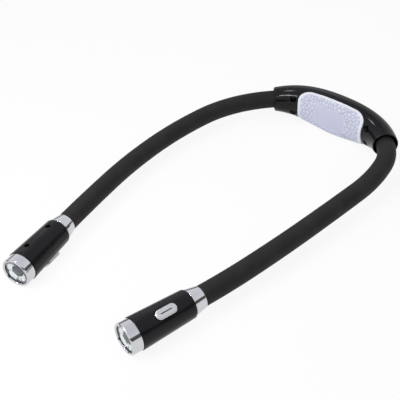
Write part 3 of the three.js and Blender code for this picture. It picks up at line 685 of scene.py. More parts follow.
def carve(target, operation, tools):
    """Joins, cuts or keeps what the tools mark, one by one, and removes the tools."""
    for tool in tools:
        modifier = target.modifiers.new("carve", "BOOLEAN")
        modifier.operation = operation
        modifier.solver = "MANIFOLD"
        modifier.object = tool
    settle(target)
    for tool in tools:
        old = tool.data
        bpy.data.objects.remove(tool)
        bpy.data.meshes.remove(old)
    if not target.data.polygons:
        raise RuntimeError(f"{target.name} has nothing left after its cuts")


def soften(target, width):
    """Rounds the sharp edges that the cuts left."""
    modifier = target.modifiers.new("edges", "BEVEL")
    modifier.width = width
    modifier.segments = 2
    modifier.limit_method = "ANGLE"
    modifier.angle_limit = math.radians(50)
    modifier.use_clamp_overlap = True
    settle(target)


def shade(target, turn=38):
    """Smooth shading, but for edges that turn by more than this, in degrees."""
    mesh = target.data
    mesh.polygons.foreach_set("use_smooth", [True] * len(mesh.polygons))
    mesh.set_sharp_from_angle(angle=math.radians(turn))


def mark(target, name, chosen):
    """Keeps a value on the faces of a mesh for its finish: 1 where a test holds."""
    kept = target.data.attributes.new(name, "FLOAT", "FACE")
    values = [float(chosen(face)) for face in target.data.polygons]
    kept.data.foreach_set("value", values)


def nearest_of(points):
    """A tree that finds the nearest of some points."""
    tree = kdtree.KDTree(len(points))
    for i, point in enumerate(points):
        tree.insert(point, i)
    tree.balance()
    return tree


def dress(target, maker, body, replaced):
    """Gives a new piece its finish and body, and hides the CAD nodes it stands for."""
    target.data.materials.clear()
    target.data.materials.append(finish(maker))
    if body:
        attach(target, body)
    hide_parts(*replaced)


def redress(node, maker):
    """Gives a CAD node a better finish."""
    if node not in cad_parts:
        raise RuntimeError(f"the frame has no node {node}")
    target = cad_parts[node]
    if not target.material_slots:
        raise RuntimeError(f"{node} has no material slot")
    for place in target.material_slots:
        place.link = "OBJECT"
        place.material = finish(maker)


# The housing's skin


class Skin:
    """The crescent's skin: its centre line is an arc, drawn in towards its middle."""

    def __init__(self):
        s = settings("housing")
        self.s = s
        self.radius = s.span / 2 / math.sin(s.half_turn)
        self.centre = self.radius * math.cos(s.half_turn)
        self.middle = self.radius - s.draw_in - self.centre
        self.rise = s.half_height - s.base_flat

    def shape(self, turn, inset):
        s = self.s
        swell = np.cos(np.clip(turn / s.half_turn, -1, 1) * QUARTER_TURN)
        middle = self.radius - s.draw_in * swell**2
        half_height = s.end_radius + (s.half_height - s.end_radius) * swell - inset
        half_depth = s.end_radius + (s.half_depth - s.end_radius) * swell - inset
        power = 2 / (2 + s.squareness * swell)
        return middle, half_height, half_depth, power

    def section(self, turn, around, inset):
        middle, half_height, half_depth, power = self.shape(turn, inset)

        def bent(value):
            return np.sign(value) * np.abs(value) ** power

        return (
            middle + half_depth * bent(np.cos(around)),
            half_height * bent(np.sin(around)),
        )

    def point(self, turn, around, inset):
        """A point in the frame, at a turn along the arc and a turn round its line."""
        radius, height = self.section(turn, around, inset)
        return stacked(
            radius * np.sin(turn),
            radius * np.cos(turn) - self.centre - self.middle,
            np.maximum(height + self.rise, 0.0),
        )

    def turn_at(self, x, around, inset):
        """The turn along the arc at an X, found by steps that close in on it."""
        turn = np.zeros(np.broadcast(x, around, inset).shape)
        for _ in range(12):
            turn = np.arcsin(x / self.section(turn, around, inset)[0])
        return turn

    def under(self, turn, around, inset):
        """A point under the skin that keeps the X of the skin above it."""
        x = self.section(turn, around, 0.0)[0] * np.sin(turn)
        return self.point(self.turn_at(x, around, inset), around, inset)

    def screws(self):
        """How far out the screws' seats lie, and what turns +Y to each one's way in."""
        s = self.s
        turn = float(self.turn_at(s.screw_across, math.pi, 0.0))
        middle, half_height, half_depth, power = self.shape(turn, 0.0)
        around = math.asin((s.screw_rise / half_height) ** (1 / power))
        seat = middle - half_depth * math.cos(around) ** power + s.screw_recess
        return seat, [
            self.spoke(side * turn, rise * s.screw_rise)
            for side in (-1, 1)
            for rise in (1, -1)
        ]

    def spoke(self, turn, height):
        """Turns +Y to the spoke at a turn, from the arc's centre."""
        return (
            Matrix.Translation((0, -self.centre - self.middle, height + self.rise))
            @ Matrix.Rotation(-turn, 4, "Z")
        )

    def level(self, points):
        """0 on the skin, less inside it and more outside it."""
        x, y = points[:, 0], points[:, 1] + self.centre + self.middle
        middle, half_height, half_depth, power = self.shape(np.arctan2(x, y), 0.0)
        across = np.abs((np.hypot(x, y) - middle) / half_depth)
        rise = np.abs((points[:, 2] - self.rise) / half_height)
        return across ** (2 / power) + rise ** (2 / power) - 1

    def polish(self, target):
        """Sets the normals of the faces that lie on the skin to the skin's own."""
        step, on_skin, agreement, above_flat = 1e-5, 0.00002, 0.93, 0.00015
        mesh = target.data
        normals = np.empty(len(mesh.loops) * 3)
        mesh.corner_normals.foreach_get("vector", normals)
        normals = normals.reshape(-1, 3)
        points = np.empty(len(mesh.vertices) * 3)
        mesh.vertices.foreach_get("co", points)
        points = points.reshape(-1, 3)
        slope = stacked(*[
            (self.level(points + axis) - self.level(points - axis)) / (2 * step)
            for axis in np.eye(3) * step
        ])
        size = np.linalg.norm(slope, axis=1, keepdims=True)
        near = np.abs(self.level(points)) / np.maximum(size[:, 0], 1) < on_skin
        slope /= np.maximum(size, 1e-9)
        corner = np.empty(len(mesh.loops), dtype=int)
        mesh.loops.foreach_get("vertex_index", corner)
        faces = np.repeat(
            np.array([face.normal for face in mesh.polygons]),
            [face.loop_total for face in mesh.polygons],
            axis=0,
        )
        agrees = np.einsum("ij,ij->i", faces, slope[corner]) > agreement
        chosen = near[corner] & agrees & (points[corner, 2] > above_flat)
        normals[chosen] = slope[corner][chosen]
        mesh.normals_split_custom_set([tuple(normal) for normal in normals])


def eased(share):
    """A share held between 0 and 1, and smooth at both."""
    share = np.clip(share, 0, 1)
    return share**2 * (3 - 2 * share)


def edge_spread(low, high, steps, round_off, per_unit):
    """Places from low to high, packed near both ends where a rounding needs them."""
    turns = np.linspace(0, QUARTER_TURN, 6)
    near = round_off * (1 - np.cos(turns)) / per_unit
    inner = np.linspace(low + near[-1], high - near[-1], steps)
    return np.concatenate([low + near[:-1], inner, (high - near[:-1])[::-1]])


def rounding(distance, radius):
    """How far a rounded edge has dropped at a distance from it."""
    short = np.clip(radius - distance, 0, radius)
    return radius - np.sqrt(np.maximum(radius**2 - short**2, 0))


def shell(name, skin, low, high):
    """One wall of the crescent between two turns round its centre line. Its end rims
    thin to a round lip, and its seam edges are rounded."""
    s = skin.s
    stations, strips = 110, 74
    lip = s.lip_wall / 2
    turns = edge_spread(-s.half_turn, s.half_turn, stations, lip, skin.radius)
    rounds = edge_spread(low, high, strips, s.edge, s.half_height)
    turn, around = np.meshgrid(turns, rounds, indexing="ij")
    from_end = (s.half_turn - np.abs(turn)) * skin.radius
    from_seam = np.minimum(around - low, high - around) * s.half_height
    wall = s.lip_wall + (s.wall - s.lip_wall) * eased(from_end / s.lip_run)
    drop = rounding(from_end, lip) + rounding(from_seam, s.edge) * (from_end > lip)
    drop = np.minimum(drop, wall / 2)
    outer = skin.point(turn, around, drop)
    inner = skin.point(turn, around, wall - drop)
    return sweep(name, np.concatenate([outer, inner[:, ::-1]], axis=1), joined=False)


def crescent(skin):
    """A tool: the whole crescent, up to the middle of its wall."""
    stations = 60
    turns = np.linspace(-skin.s.half_turn, skin.s.half_turn, stations)
    turn, around = np.meshgrid(turns, even_turns(ROUND_SIDES), indexing="ij")
    points = skin.point(turn, around, skin.s.wall / 2)
    return sweep("tool", points, joined=False, capped=True)


def join_inside(made, skin, tools):
    """Joins tools to a shell, each up to the middle of the wall."""
    for tool in tools:
        carve(tool, "INTERSECT", [crescent(skin)])
    carve(made, "UNION", tools)


def shell_screw_hole(start, end, matrix):
    """A tool: the hole for a housing screw's shank, between two depths."""
    return rod(0.0014, start, end, matrix)


def dress_shell(made, skin, node):
    shade(made)
    skin.polish(made)
    dress(made, gloss_black, "housing", [node])


class PadPlan:
    """Places on the pad: across runs along it and up runs up it, from its middle."""

    def __init__(self, skin):
        self.skin, self.p = skin, settings("pad")
        mean_half = (skin.s.half_height + skin.s.half_depth) / 2
        self.half_height = mean_half * self.p.half_turn
        self.end_turn = float(skin.turn_at(self.p.half_length, math.pi, 0.0))

    def rim(self, growth, count):
        """The across and the up of points on the grown outline, evenly spaced. A circle
        that fits the corners runs round inside it, up the +X side first, and the marks
        are the distances at which it starts or ends a bend."""
        corner = self.p.corner + growth
        x = self.p.half_length + growth - corner
        y = self.half_height + growth - corner
        bend = QUARTER_TURN * corner
        marks = np.cumsum([0, 2 * y, bend, 2 * x, bend, 2 * y, bend, 2 * x, bend])
        place = marks[-1] * np.arange(count) / count
        across = np.interp(place, marks, [x, x, x, -x, -x, -x, -x, x, x])
        up = np.interp(place, marks, [-y, y, y, y, y, -y, -y, -y, -y])
        turn = np.interp(place, marks, [0, 0, 1, 1, 2, 2, 3, 3, 4]) * QUARTER_TURN
        return across + corner * np.cos(turn), up + corner * np.sin(turn)

    def point(self, across, up, inset):
        """A point in the frame, under the skin by an inset."""
        turn = across / self.p.half_length * self.end_turn
        around = math.pi - up / self.half_height * self.p.half_turn
        return self.skin.under(turn, around, inset)

    def slab(self, growth, front, back):
        """A tool: the grown outline bent onto the skin, between two depths."""
        rims, rings = 96, 10
        out = np.linspace(0, 1, rings)
        reach = np.concatenate([out, out[::-1]])
        depth = np.repeat([front, back], rings)
        across, up = (places[:, None] * reach for places in self.rim(growth, rims))
        return sweep("tool", self.point(across, up, depth))


class Piece:
    """What the operators of this add-on share."""

    bl_options = {"REGISTER", "UNDO"}


class BuildOuterShell(Piece, bpy.types.Operator):
    """Build the back shell of the housing, with its ribs, end walls and screw bosses"""

    bl_idname = "reading_light.outer_shell"
    bl_label = "Outer Shell"

    def execute(self, context):
        skin = Skin()
        s, b = skin.s, settings("bay")
        boss, boss_behind, hole_depth = 0.0023, 0.0021, 0.0088
        rib_place, clearance = 0.012, 0.0003
        end_place, end_ahead, end_rise = 0.0249, 0.002, 0.004
        made = shell("housing_back", skin, -s.seam_turn, s.seam_turn)
        seat, screws = skin.screws()
        inside = [rod(boss, seat + boss_behind, seat + THROUGH, m) for m in screws]
        for side in (-1, 1):
            half = b.cell_pitch / 2 + b.cell_diameter / 2
            rib = self.cross_wall(skin, side * rib_place, 0, half)
            room = b.cell_diameter / 2 + clearance
            carve(rib, "DIFFERENCE", [
                rod(room, -THROUGH, THROUGH, cell_matrix(skin, z), HOLE_SIDES)
                for z in (1, -1)
            ])
            inside.append(rib)
        for side in (-1, 1):
            half = b.cell_pitch / 2 + end_rise
            inside.append(self.cross_wall(skin, side * end_place, end_ahead, half))
        join_inside(made, skin, inside)
        holes = [shell_screw_hole(seat, seat + hole_depth, m) for m in screws]
        carve(made, "DIFFERENCE", holes)
        dress_shell(made, skin, "outer_shell")
        return {"FINISHED"}

    def cross_wall(self, skin, x, ahead, half):
        """A tool: a wall across the housing at an X, from ahead of the cells' line to
        behind the back."""
        half_wall = 0.0015 / 2
        front = settings("bay").cell_depth - skin.middle - ahead
        low = (x - half_wall, front, skin.rise - half)
        high = (x + half_wall, THROUGH, skin.rise + half)
        return block(low, high)


def cell_matrix(skin, side):
    """Turns +Y to +X along the axis of the upper cell, 1, or the lower one, -1."""
    b = settings("bay")
    return Matrix.Translation(
        (0, b.cell_depth - skin.middle, skin.rise + side * b.cell_pitch / 2)
    ) @ Matrix.Rotation(-QUARTER_TURN, 4, "Z")


class BuildInnerShell(Piece, bpy.types.Operator):
    """Build the neck-side shell, with the pad's pocket and the recessed screw holes"""

    bl_idname = "reading_light.inner_shell"
    bl_label = "Inner Shell"

    def execute(self, context):
        skin = Skin()
        s = skin.s
        post, post_behind, recess, soft = 0.0032, 0.0018, 0.00235, 0.00022
        cad_proud, door_gap, door_wall, gap = 0.0004, 0.00045, 0.0014, 0.0003
        seam = s.seam_turn + s.seam_gap / s.half_height
        made = shell("housing_neck_side", skin, seam, FULL_TURN - seam)
        seat, screws = skin.screws()
        front = seat - THROUGH
        back = seat + post_behind
        join_inside(made, skin, [rod(post, front, back, m, HOLE_SIDES) for m in screws])
        door_back = settings("pad").thickness - cad_proud + door_gap + door_wall
        carve(made, "DIFFERENCE", [PadPlan(skin).slab(gap, -s.wall, door_back + gap)])
        recesses = [rod(recess, front, seat, m, HOLE_SIDES) for m in screws]
        carve(made, "DIFFERENCE", recesses)
        holes = [shell_screw_hole(front, seat + THROUGH, m) for m in screws]
        carve(made, "DIFFERENCE", holes)
        soften(made, soft)
        dress_shell(made, skin, "inner_shell")
        return {"FINISHED"}


class BuildBay(Piece, bpy.types.Operator):
    """Build the cells, and finish the contacts and the battery door"""

    bl_idname = "reading_light.bay"
    bl_label = "Battery Bay"

    def execute(self, context):
        skin, b = Skin(), settings("bay")
        radius, half = b.cell_diameter / 2, b.cell_length / 2
        nub, nub_height, soft = 0.0025, 0.0008, 0.0006
        shoulder = half - nub_height
        outline = [
            (0, -half, 0), (radius, -half, soft), (radius, shoulder, soft),
            (nub, shoulder, 0), (nub, half, 0.0002), (0, half, 0),
        ]
        for i, (side, turn) in enumerate(((1, 0), (-1, math.pi)), 1):
            matrix = cell_matrix(skin, side) @ Matrix.Rotation(turn, 4, "Z")
            cell = turned(f"cell_{i}", outline, ROUND_SIDES, matrix)
            shade(cell)
            dress(cell, cell_jacket, "housing", [f"battery_cell_{i}"])
        for node in ("contact_link", "contact_positive", "contact_negative"):
            redress(node, contact_brass)
        redress("battery_door", door_plastic)
        return {"FINISHED"}


class BuildPad(Piece, bpy.types.Operator):
    """Build the pad, with its raised rim, its ring of pebbles and its smooth oval"""

    bl_idname = "reading_light.pad"
    bl_label = "Neck Pad"

    def execute(self, context):
        plan = PadPlan(Skin())
        rims, rings = ((420, 120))
        out = np.linspace(0, 1, rings)
        across, up = (places[:, None] * out for places in plan.rim(0.0, rims))
        height, values = self.heights(plan, across, up)
        front = plan.point(across, up, -height)
        back = plan.point(across, up, plan.p.thickness - plan.p.proud)
        pad = sweep("neck_rest_pad", np.concatenate([front, back[:, ::-1]], axis=1))
        shade(pad, 70)
        self.tint(pad, front, values)
        dress(pad, soft_lilac, "battery_door", ["neck_pad"])
        return {"FINISHED"}

    def heights(self, plan, across, up):
        """How far each point stands off the skin, and how far it lies on a pebble, in
        the oval and on the rim."""
        p = plan.p
        soft, slope, squareness = 0.0007, 0.0009, 3.6
        crack_width, oval_edge, oval_blur, oval_height = 0.62, 1.06, 0.1, 0.4
        ridge_place, ridge_width, ridge_height = 0.99, 0.045, 0.00025
        over_x = np.abs(across) - (p.half_length - p.corner)
        over_y = np.abs(up) - (plan.half_height - p.corner)
        past = np.hypot(np.maximum(over_x, 0), np.maximum(over_y, 0))
        edge = p.corner - past - np.minimum(np.maximum(over_x, over_y), 0)
        edge = np.maximum(edge, 0)
        fall = eased((edge - p.rim) / slope)
        first, second = self.near_seeds(p, across.ravel(), up.ravel())
        crack = np.clip((second - first) / (crack_width * p.grain), 0, 1)
        dome = np.sqrt(1 - (1 - crack.reshape(across.shape)) ** 2)
        oval_x = np.abs(across / (p.oval_length * p.half_length)) ** squareness
        oval_y = np.abs(up / (p.oval_height * plan.half_height)) ** squareness
        oval = (oval_x + oval_y) ** (1 / squareness)
        middle = eased((oval_edge - oval) / oval_blur)
        ridge = np.exp(-(((oval - ridge_place) / ridge_width) ** 2))
        field = -p.sunk + p.grain_height * dome
        plain = -p.sunk + oval_height * p.grain_height + ridge_height * ridge
        inner = field * (1 - middle) + plain * middle
        values = {
            # Low between the pebbles, where the finish paints shade
            "pebble": np.maximum(np.maximum(dome, middle), 1 - fall),
            "oval": middle * (1 - ridge),
            # Where the finish paints a highlight on the rim
            "rim": 1 - fall,
        }
        return p.proud - rounding(edge, soft) + fall * inner, values

    def near_seeds(self, p, across, up):
        """Distances to the nearest and the second nearest of an uneven net of seeds."""
        random = np.random.default_rng(7)
        row_pitch, uneven, room_up = p.grain * 0.87, 0.34, 0.04
        columns = int(2 * p.half_length / p.grain) + 4
        rows = int(room_up / row_pitch) + 4
        seeds = []
        for row in range(rows):
            for column in range(columns):
                x = (column - columns / 2 + (row % 2) / 2) * p.grain
                y = (row - rows / 2) * row_pitch
                x, y = (x, y) + random.uniform(-uneven, uneven, 2) * p.grain
                seeds.append((x, y, 0))
        tree = nearest_of(seeds)
        places = zip(across, up)
        near = [[hit[2] for hit in tree.find_n((x, y, 0), 2)] for x, y in places]
        return np.array(near).T

    def tint(self, pad, front, values):
        """Keeps values of the front's points on the mesh, for its finish."""
        tree = nearest_of(front.reshape(-1, 3))
        nearest = [tree.find(vertex.co)[1] for vertex in pad.data.vertices]
        for name, value in values.items():
            kept = pad.data.attributes.new(name, "FLOAT", "POINT")
            kept.data.foreach_set("value", value.ravel()[nearest])


def cross_screw(name, matrix, diameter, head, head_height, reach):
    """A screw with its tip towards +Y and a cross in its domed head."""
    half, shank, sides, soft = head / 2, diameter / 2, 36, 0.0004
    crown, crown_height = half * 0.72, head_height * 0.96
    brow_height = head_height * 0.55
    outline = [
        (0, -head_height, 0), (crown, -crown_height, soft), (half, -brow_height, soft),
        (half, 0, 0.0001), (shank, 0, 0), (shank, reach - shank, 0), (0, reach, 0),
    ]
    made = turned(name, outline, sides)
    arm, width, floor = half * 0.7, head * 0.09, -head_height * 0.45
    carve(made, "DIFFERENCE", [
        block((-x, -THROUGH, -z), (x, floor, z))
        for x, z in ((arm, width), (width, arm))
    ])
    made.data.transform(matrix)
    shade(made)
    return made


class BuildHousingScrews(Piece, bpy.types.Operator):
    """Build the four screws in the housing's recesses"""

    bl_idname = "reading_light.housing_screws"
    bl_label = "Housing Screws"

    def execute(self, context):
        seat, places = Skin().screws()
        above_seat = 0.0003
        in_seat = Matrix.Translation((0, seat - above_seat, 0))
        for i, place in enumerate(places, 1):
            screw = cross_screw(f"shell_screw_{i}", place @ in_seat, diameter=0.0022,
                                head=0.004, head_height=0.0012, reach=0.0085)
            dress(screw, dark_steel, "housing", [f"housing_screw_{i}"])
        return {"FINISHED"}


# Arms


# Each arm's five arcs from the housing on: their lengths in metres and their turns in
# degrees. The button and the lobes are turns about the head's own line, in degrees.
ARMS = {
    "left": {
        "side": -1,
        "lengths": (0.024, 0.036, 0.050, 0.050, 0.049),
        "turns": (14.8, 23.3, 11.1, 8.5, 2.2),
        "button": 225,
        "lobes": 4.4,
    },
    "right": {
        "side": 1,
        "lengths": (0.024, 0.036, 0.050, 0.050, 0.037),
        "turns": (30.0, 17.3, 1.2, 2.4, 4.2),
        "button": 118,
        "lobes": -12.4,
    },
}
# Where the hinges lie along an arm, and how far to each side of one its sleeve bends
BALLS = (0.024, 0.060, 0.110, 0.160)
REACHES = (0.0155, 0.0155, 0.020, 0.020)
# Where one stretch of sleeve ends and the next begins
MEETINGS = (0.042, 0.085, 0.135)


class Route:
    """One arm's line: five arcs in a plane, tipped until the head meets the floor."""

    def __init__(self, name):
        arm, head, self.skin = ARMS[name], settings("head"), Skin()
        self.side, self.lengths = arm["side"], arm["lengths"]
        self.turns = [math.radians(turn) for turn in arm["turns"]]
        self.button = math.radians(arm["button"])
        self.end = sum(self.lengths)
        at, forward = self.plan(self.end)
        reach = head.collar_length + head.gap + head.barrel_length
        drop = self.skin.rise - head.barrel_front / 2
        tip = math.asin(drop / -(at + forward * reach).y)
        self.base = Matrix.Translation(
            (0, -self.skin.middle, self.skin.rise)
        ) @ Matrix.Rotation(tip, 4, "X")

    def plan(self, distance):
        """The centre and heading at a distance, before the arm is tipped."""

        def way(turn):
            return Vector((self.side * math.sin(turn), -math.cos(turn), 0))

        at = Vector((self.side * self.skin.s.span / 2, 0, 0))
        heading = QUARTER_TURN - self.skin.s.half_turn
        at += way(heading) * min(distance, 0)
        left = distance
        for run, turn in zip(self.lengths, self.turns):
            if left <= 0:
                break
            step = min(left, run)
            bend = -turn * step / run
            at += way(heading + bend / 2) * (step * math.sin(bend / 2) / (bend / 2))
            heading += bend
            left -= step
        at += way(heading) * max(left, 0)
        return at, way(heading)

    def at(self, distance):
        """The centre, the way across and the way up, in the frame."""
        at, forward = self.plan(distance)
        up = Vector((0, 0, 1))
        turn = self.base.to_3x3()
        return self.base @ at, turn @ forward.cross(up), turn @ up

    def head(self):
        """Where the head is built: +Y on from the sleeve's end, +Z to the button."""
        at, forward = self.plan(self.end)
        return (
            self.base
            @ Matrix.Translation(at)
            @ Matrix.Rotation(math.atan2(-forward.x, forward.y), 4, "Z")
            @ Matrix.Rotation(QUARTER_TURN - self.button, 4, "Y")
        )


class BuildSleeves(Piece, bpy.types.Operator):
    """Build the two rubber sleeves, each in four stretches along its arm"""

    bl_idname = "reading_light.sleeves"
    bl_label = "Sleeves"

    def execute(self, context):
        stood_for = (["sleeve_1"], ["sleeve_2"], ["sleeve_3"], ["sleeve_4", "sleeve_5"])
        for name in ARMS:
            route = Route(name)
            start = -settings("arm").entry
            ends = [*MEETINGS, route.end]
            stretches = [f"{name}_arm_{i}" for i in (1, 2, 3)]
            bodies = ["housing", *stretches, f"{name}_head"]
            for i, end in enumerate(ends):
                sleeve = self.tube(f"{name}_arm_sleeve_{i + 1}", route, start, end,
                                   first=i == 0, last=i == 3)
                replaced = [f"{name}_{node}" for node in stood_for[i]]
                dress(sleeve, sleeve_rubber, None, replaced)
                ball, reach = BALLS[i], REACHES[i]
                low, high = route.at(ball - reach)[0], route.at(ball + reach)[0]
                bodies[i + 1]
                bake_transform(sleeve)
                start = end
        return {"FINISHED"}

    def tube(self, name, route, start, end, first, last):
        """One stretch of the sleeve, round its bore. A free end has a rounded rim."""
        a = settings("arm")
        outer, bore, soft, step = a.sleeve / 2, a.bore / 2, 0.0005, 0.0012

        def rim(at, out):
            """The rounded rim of an end that faces on along the arm, 1, or back, -1."""
            return [(at - out * soft, outer),
                    (at - out * 0.3 * soft, outer - 0.3 * soft), (at, outer - soft)]

        run = np.linspace(start, end, max(int((end - start) / step), 8))
        profile = [(place, outer) for place in run]
        if first:
            profile[:1] = rim(start, -1)[::-1]
        if last:
            profile[-1:] = rim(end, 1)
        profile += [(place, bore) for place in run[::-1]]
        turns = even_turns(ROUND_SIDES)[:, None]
        rows = []
        for place, radius in profile:
            at, across, up = (np.array(vector) for vector in route.at(place))
            rows.append(at + radius * (np.cos(turns) * across + np.sin(turns) * up))
        made = sweep(name, rows)
        shade(made, 60)
        return made


class FinishArmCores(Piece, bpy.types.Operator):
    """Finish the steel goosenecks and their clamps inside the sleeves"""

    bl_idname = "reading_light.arm_cores"
    bl_label = "Arm Cores"

    def execute(self, context):
        for name in ARMS:
            for core in ("gooseneck_clamp", *[f"gooseneck_{i}" for i in range(1, 6)]):
                redress(f"{name}_{core}", steel)
        return {"FINISHED"}


# Lamp heads


class HeadPlan:
    """Places along a lamp head, from the end of the sleeve."""

    def __init__(self):
        s = settings("head")
        flange, spigot_length, spigot_wall, button_room = 0.0008, 0.0045, 0.0009, 0.0016
        self.rear_wall = 0.0012
        self.barrel_start = s.collar_length + s.gap
        self.barrel_end = self.barrel_start + s.barrel_length
        self.bezel_start = self.barrel_end + s.gap
        self.front = self.bezel_start + s.bezel_length
        self.flange_start = self.barrel_start + self.rear_wall + s.gap
        self.flange_end = self.flange_start + flange
        self.lens_front = self.front - s.lens_recess
        self.lens_back = self.lens_front - s.lens_wall
        self.bowl_front = self.lens_back - s.gap / 2
        self.seat = self.front - s.lens_seat
        self.bowl_back = self.seat - 2 * s.gap - s.reflector_length
        self.board_back = self.bowl_back - s.gap - s.board
        rear_screw = self.flange_end + s.post_forward + s.post
        front_screw = self.board_back - s.wire_room - s.gap - s.post
        self.screws = rear_screw, front_screw
        rear = rear_screw + s.post + s.gap
        ahead = front_screw - s.post - s.gap
        self.button = (rear + ahead) / 2
        self.button_length = ahead - rear - s.gap - button_room
        self.spigot_start = self.bezel_start - spigot_length
        self.spigot = self.radius(self.spigot_start) - s.barrel_wall - s.gap
        self.spigot_bore = self.spigot - spigot_wall

    def radius(self, place):
        """The barrel's radius at a place."""
        s = settings("head")
        share = (place - self.barrel_start) / s.barrel_length
        return (s.barrel_rear + (s.barrel_front - s.barrel_rear) * share) / 2

    def on_button(self, outline):
        """An outline moved along the barrel to the button."""
        return [(x, y + self.button) for x, y in outline]


def screw_matrix(place):
    """Turns +Y to the way a head screw points, at its place along the barrel."""
    return (
        Matrix.Translation((0, place, 0))
        @ Matrix.Rotation(settings("head").screw_turn, 4, "Y")
        @ Matrix.Rotation(-QUARTER_TURN, 4, "X")
    )


def stadium(bar_length, width, inset=0, count=64):
    """The outline of a bar with round ends, long along Y, drawn in by an inset."""
    radius = width / 2 - inset
    half = (bar_length - width) / 2
    points = []
    for i in range(count):
        turn = FULL_TURN * i / count
        y = half if math.sin(turn) >= 0 else -half
        points.append((radius * math.cos(turn), y + radius * math.sin(turn)))
    return points


def fit(arm, made, maker, node, turn=38, roll=0.0, body="head"):
    """Stands a piece that was built along Y at the end of an arm, and dresses it."""
    made.data.transform(Route(arm).head() @ Matrix.Rotation(roll, 4, "Y"))
    shade(made, turn)
    dress(made, maker, f"{arm}_{body}", [f"{arm}_{node}"])


class BuildCollars(Piece, bpy.types.Operator):
    """Build the plated collars between sleeves and barrels"""

    bl_idname = "reading_light.collars"
    bl_label = "Collars"

    def execute(self, context):
        s, plan = settings("head"), HeadPlan()
        bore, neck, flange = 0.0031, 0.0055, 0.007
        outline = [
            (bore, s.gap, 0), (s.collar_rear / 2, s.gap, 0.00045),
            (s.collar_front / 2, s.collar_length, 0.00035), (neck, s.collar_length, 0),
            (neck, plan.flange_start, 0), (flange, plan.flange_start, 0.0001),
            (flange, plan.flange_end, 0.0001), (bore, plan.flange_end, 0),
        ]
        for name in ARMS:
            made = turned(f"{name}_plated_collar", outline, s.sides)
            fit(name, made, chrome, "collar")
        return {"FINISHED"}


class BuildBarrels(Piece, bpy.types.Operator):
    """Build the two halves of each barrel, with screw posts and the button's opening"""

    bl_idname = "reading_light.barrels"
    bl_label = "Barrels"

    def execute(self, context):
        for name in ARMS:
            for side, half in ((1, "screw"), (-1, "button")):
                made = self.half(f"{name}_barrel_{half}_side", side)
                fit(name, made, satin_black, f"{half}_half", 32)
        return {"FINISHED"}

    def half(self, name, side):
        """Half of a barrel: 1 where the screws enter, -1 where the button is."""
        s, plan = settings("head"), HeadPlan()
        made = self.half_shell(name, side)
        post_wall, head_room, head_depth = 0.00095, 0.0017, 0.0054
        hole, hole_end = 0.0012, 0.0039
        posts, holes = [], []
        for at in plan.screws:
            matrix = screw_matrix(at)
            wall = plan.radius(at) - post_wall
            ends = (-wall, -s.gap / 2) if side > 0 else (s.gap / 2, wall)
            posts.append(rod(s.post, *ends, matrix))
            holes.append(rod(head_room, -THROUGH, -head_depth, matrix))
            holes.append(rod(hole, -THROUGH, hole_end, matrix))
        if side < 0:
            size = (plan.button_length + 2 * s.gap, s.button_width + 2 * s.gap)
            holes.append(prism(plan.on_button(stadium(*size)), 0, THROUGH))
        carve(made, "UNION", posts)
        carve(made, "DIFFERENCE", holes)
        soften(made, 0.00014)
        return made

    def half_shell(self, name, side):
        """The half's tapered wall and its share of the wall across the rear."""
        s, plan = settings("head"), HeadPlan()
        rear, front = s.barrel_rear / 2, s.barrel_front / 2
        neck, shoulder, steps = 0.0058, 0.0011, 7
        inner_start = plan.barrel_start + plan.rear_wall
        radius, place = np.array(rounded([
            (neck, plan.barrel_start, 0.0001), (rear, plan.barrel_start, shoulder),
            (front, plan.barrel_end, 0.0002),
            (front - s.barrel_wall, plan.barrel_end, 0),
            (rear - s.barrel_wall, inner_start, 0), (neck, inner_start, 0),
        ], steps)).T
        turns = np.linspace(-QUARTER_TURN, QUARTER_TURN, s.sides // 2 + 1)[:, None]
        sine, cosine = math.sin(s.screw_turn), math.cos(s.screw_turn)
        reach = np.maximum(radius * np.cos(turns), s.gap / 2) * side
        sway = radius * np.sin(turns)
        x, z = reach * sine + sway * cosine, reach * cosine - sway * sine
        return sweep(name, stacked(x, place, z), joined=False, capped=True)


class BuildBezels(Piece, bpy.types.Operator):
    """Build the plated bezels round the lenses"""

    bl_idname = "reading_light.bezels"
    bl_label = "Bezels"

    def execute(self, context):
        s, plan = settings("head"), HeadPlan()
        outer, seat = s.bezel / 2, s.lens / 2 + s.gap
        slope, land = 0.0006, 0.0013
        shelf = plan.seat - s.gap
        outline = [
            (plan.spigot_bore, plan.spigot_start, 0),
            (plan.spigot, plan.spigot_start, 0.0001),
            (plan.spigot, plan.bezel_start, 0), (outer, plan.bezel_start, 0.0002),
            (outer, plan.front - slope, 0.0003), (outer - slope, plan.front, 0.0002),
            (outer - land, plan.front, 0.0002), (seat, plan.lens_front, 0.0001),
            (seat, shelf, 0), (plan.spigot_bore, shelf, 0),
        ]
        for name in ARMS:
            made = turned(f"{name}_plated_bezel", outline, s.sides)
            fit(name, made, chrome, "bezel", 30)
        return {"FINISHED"}


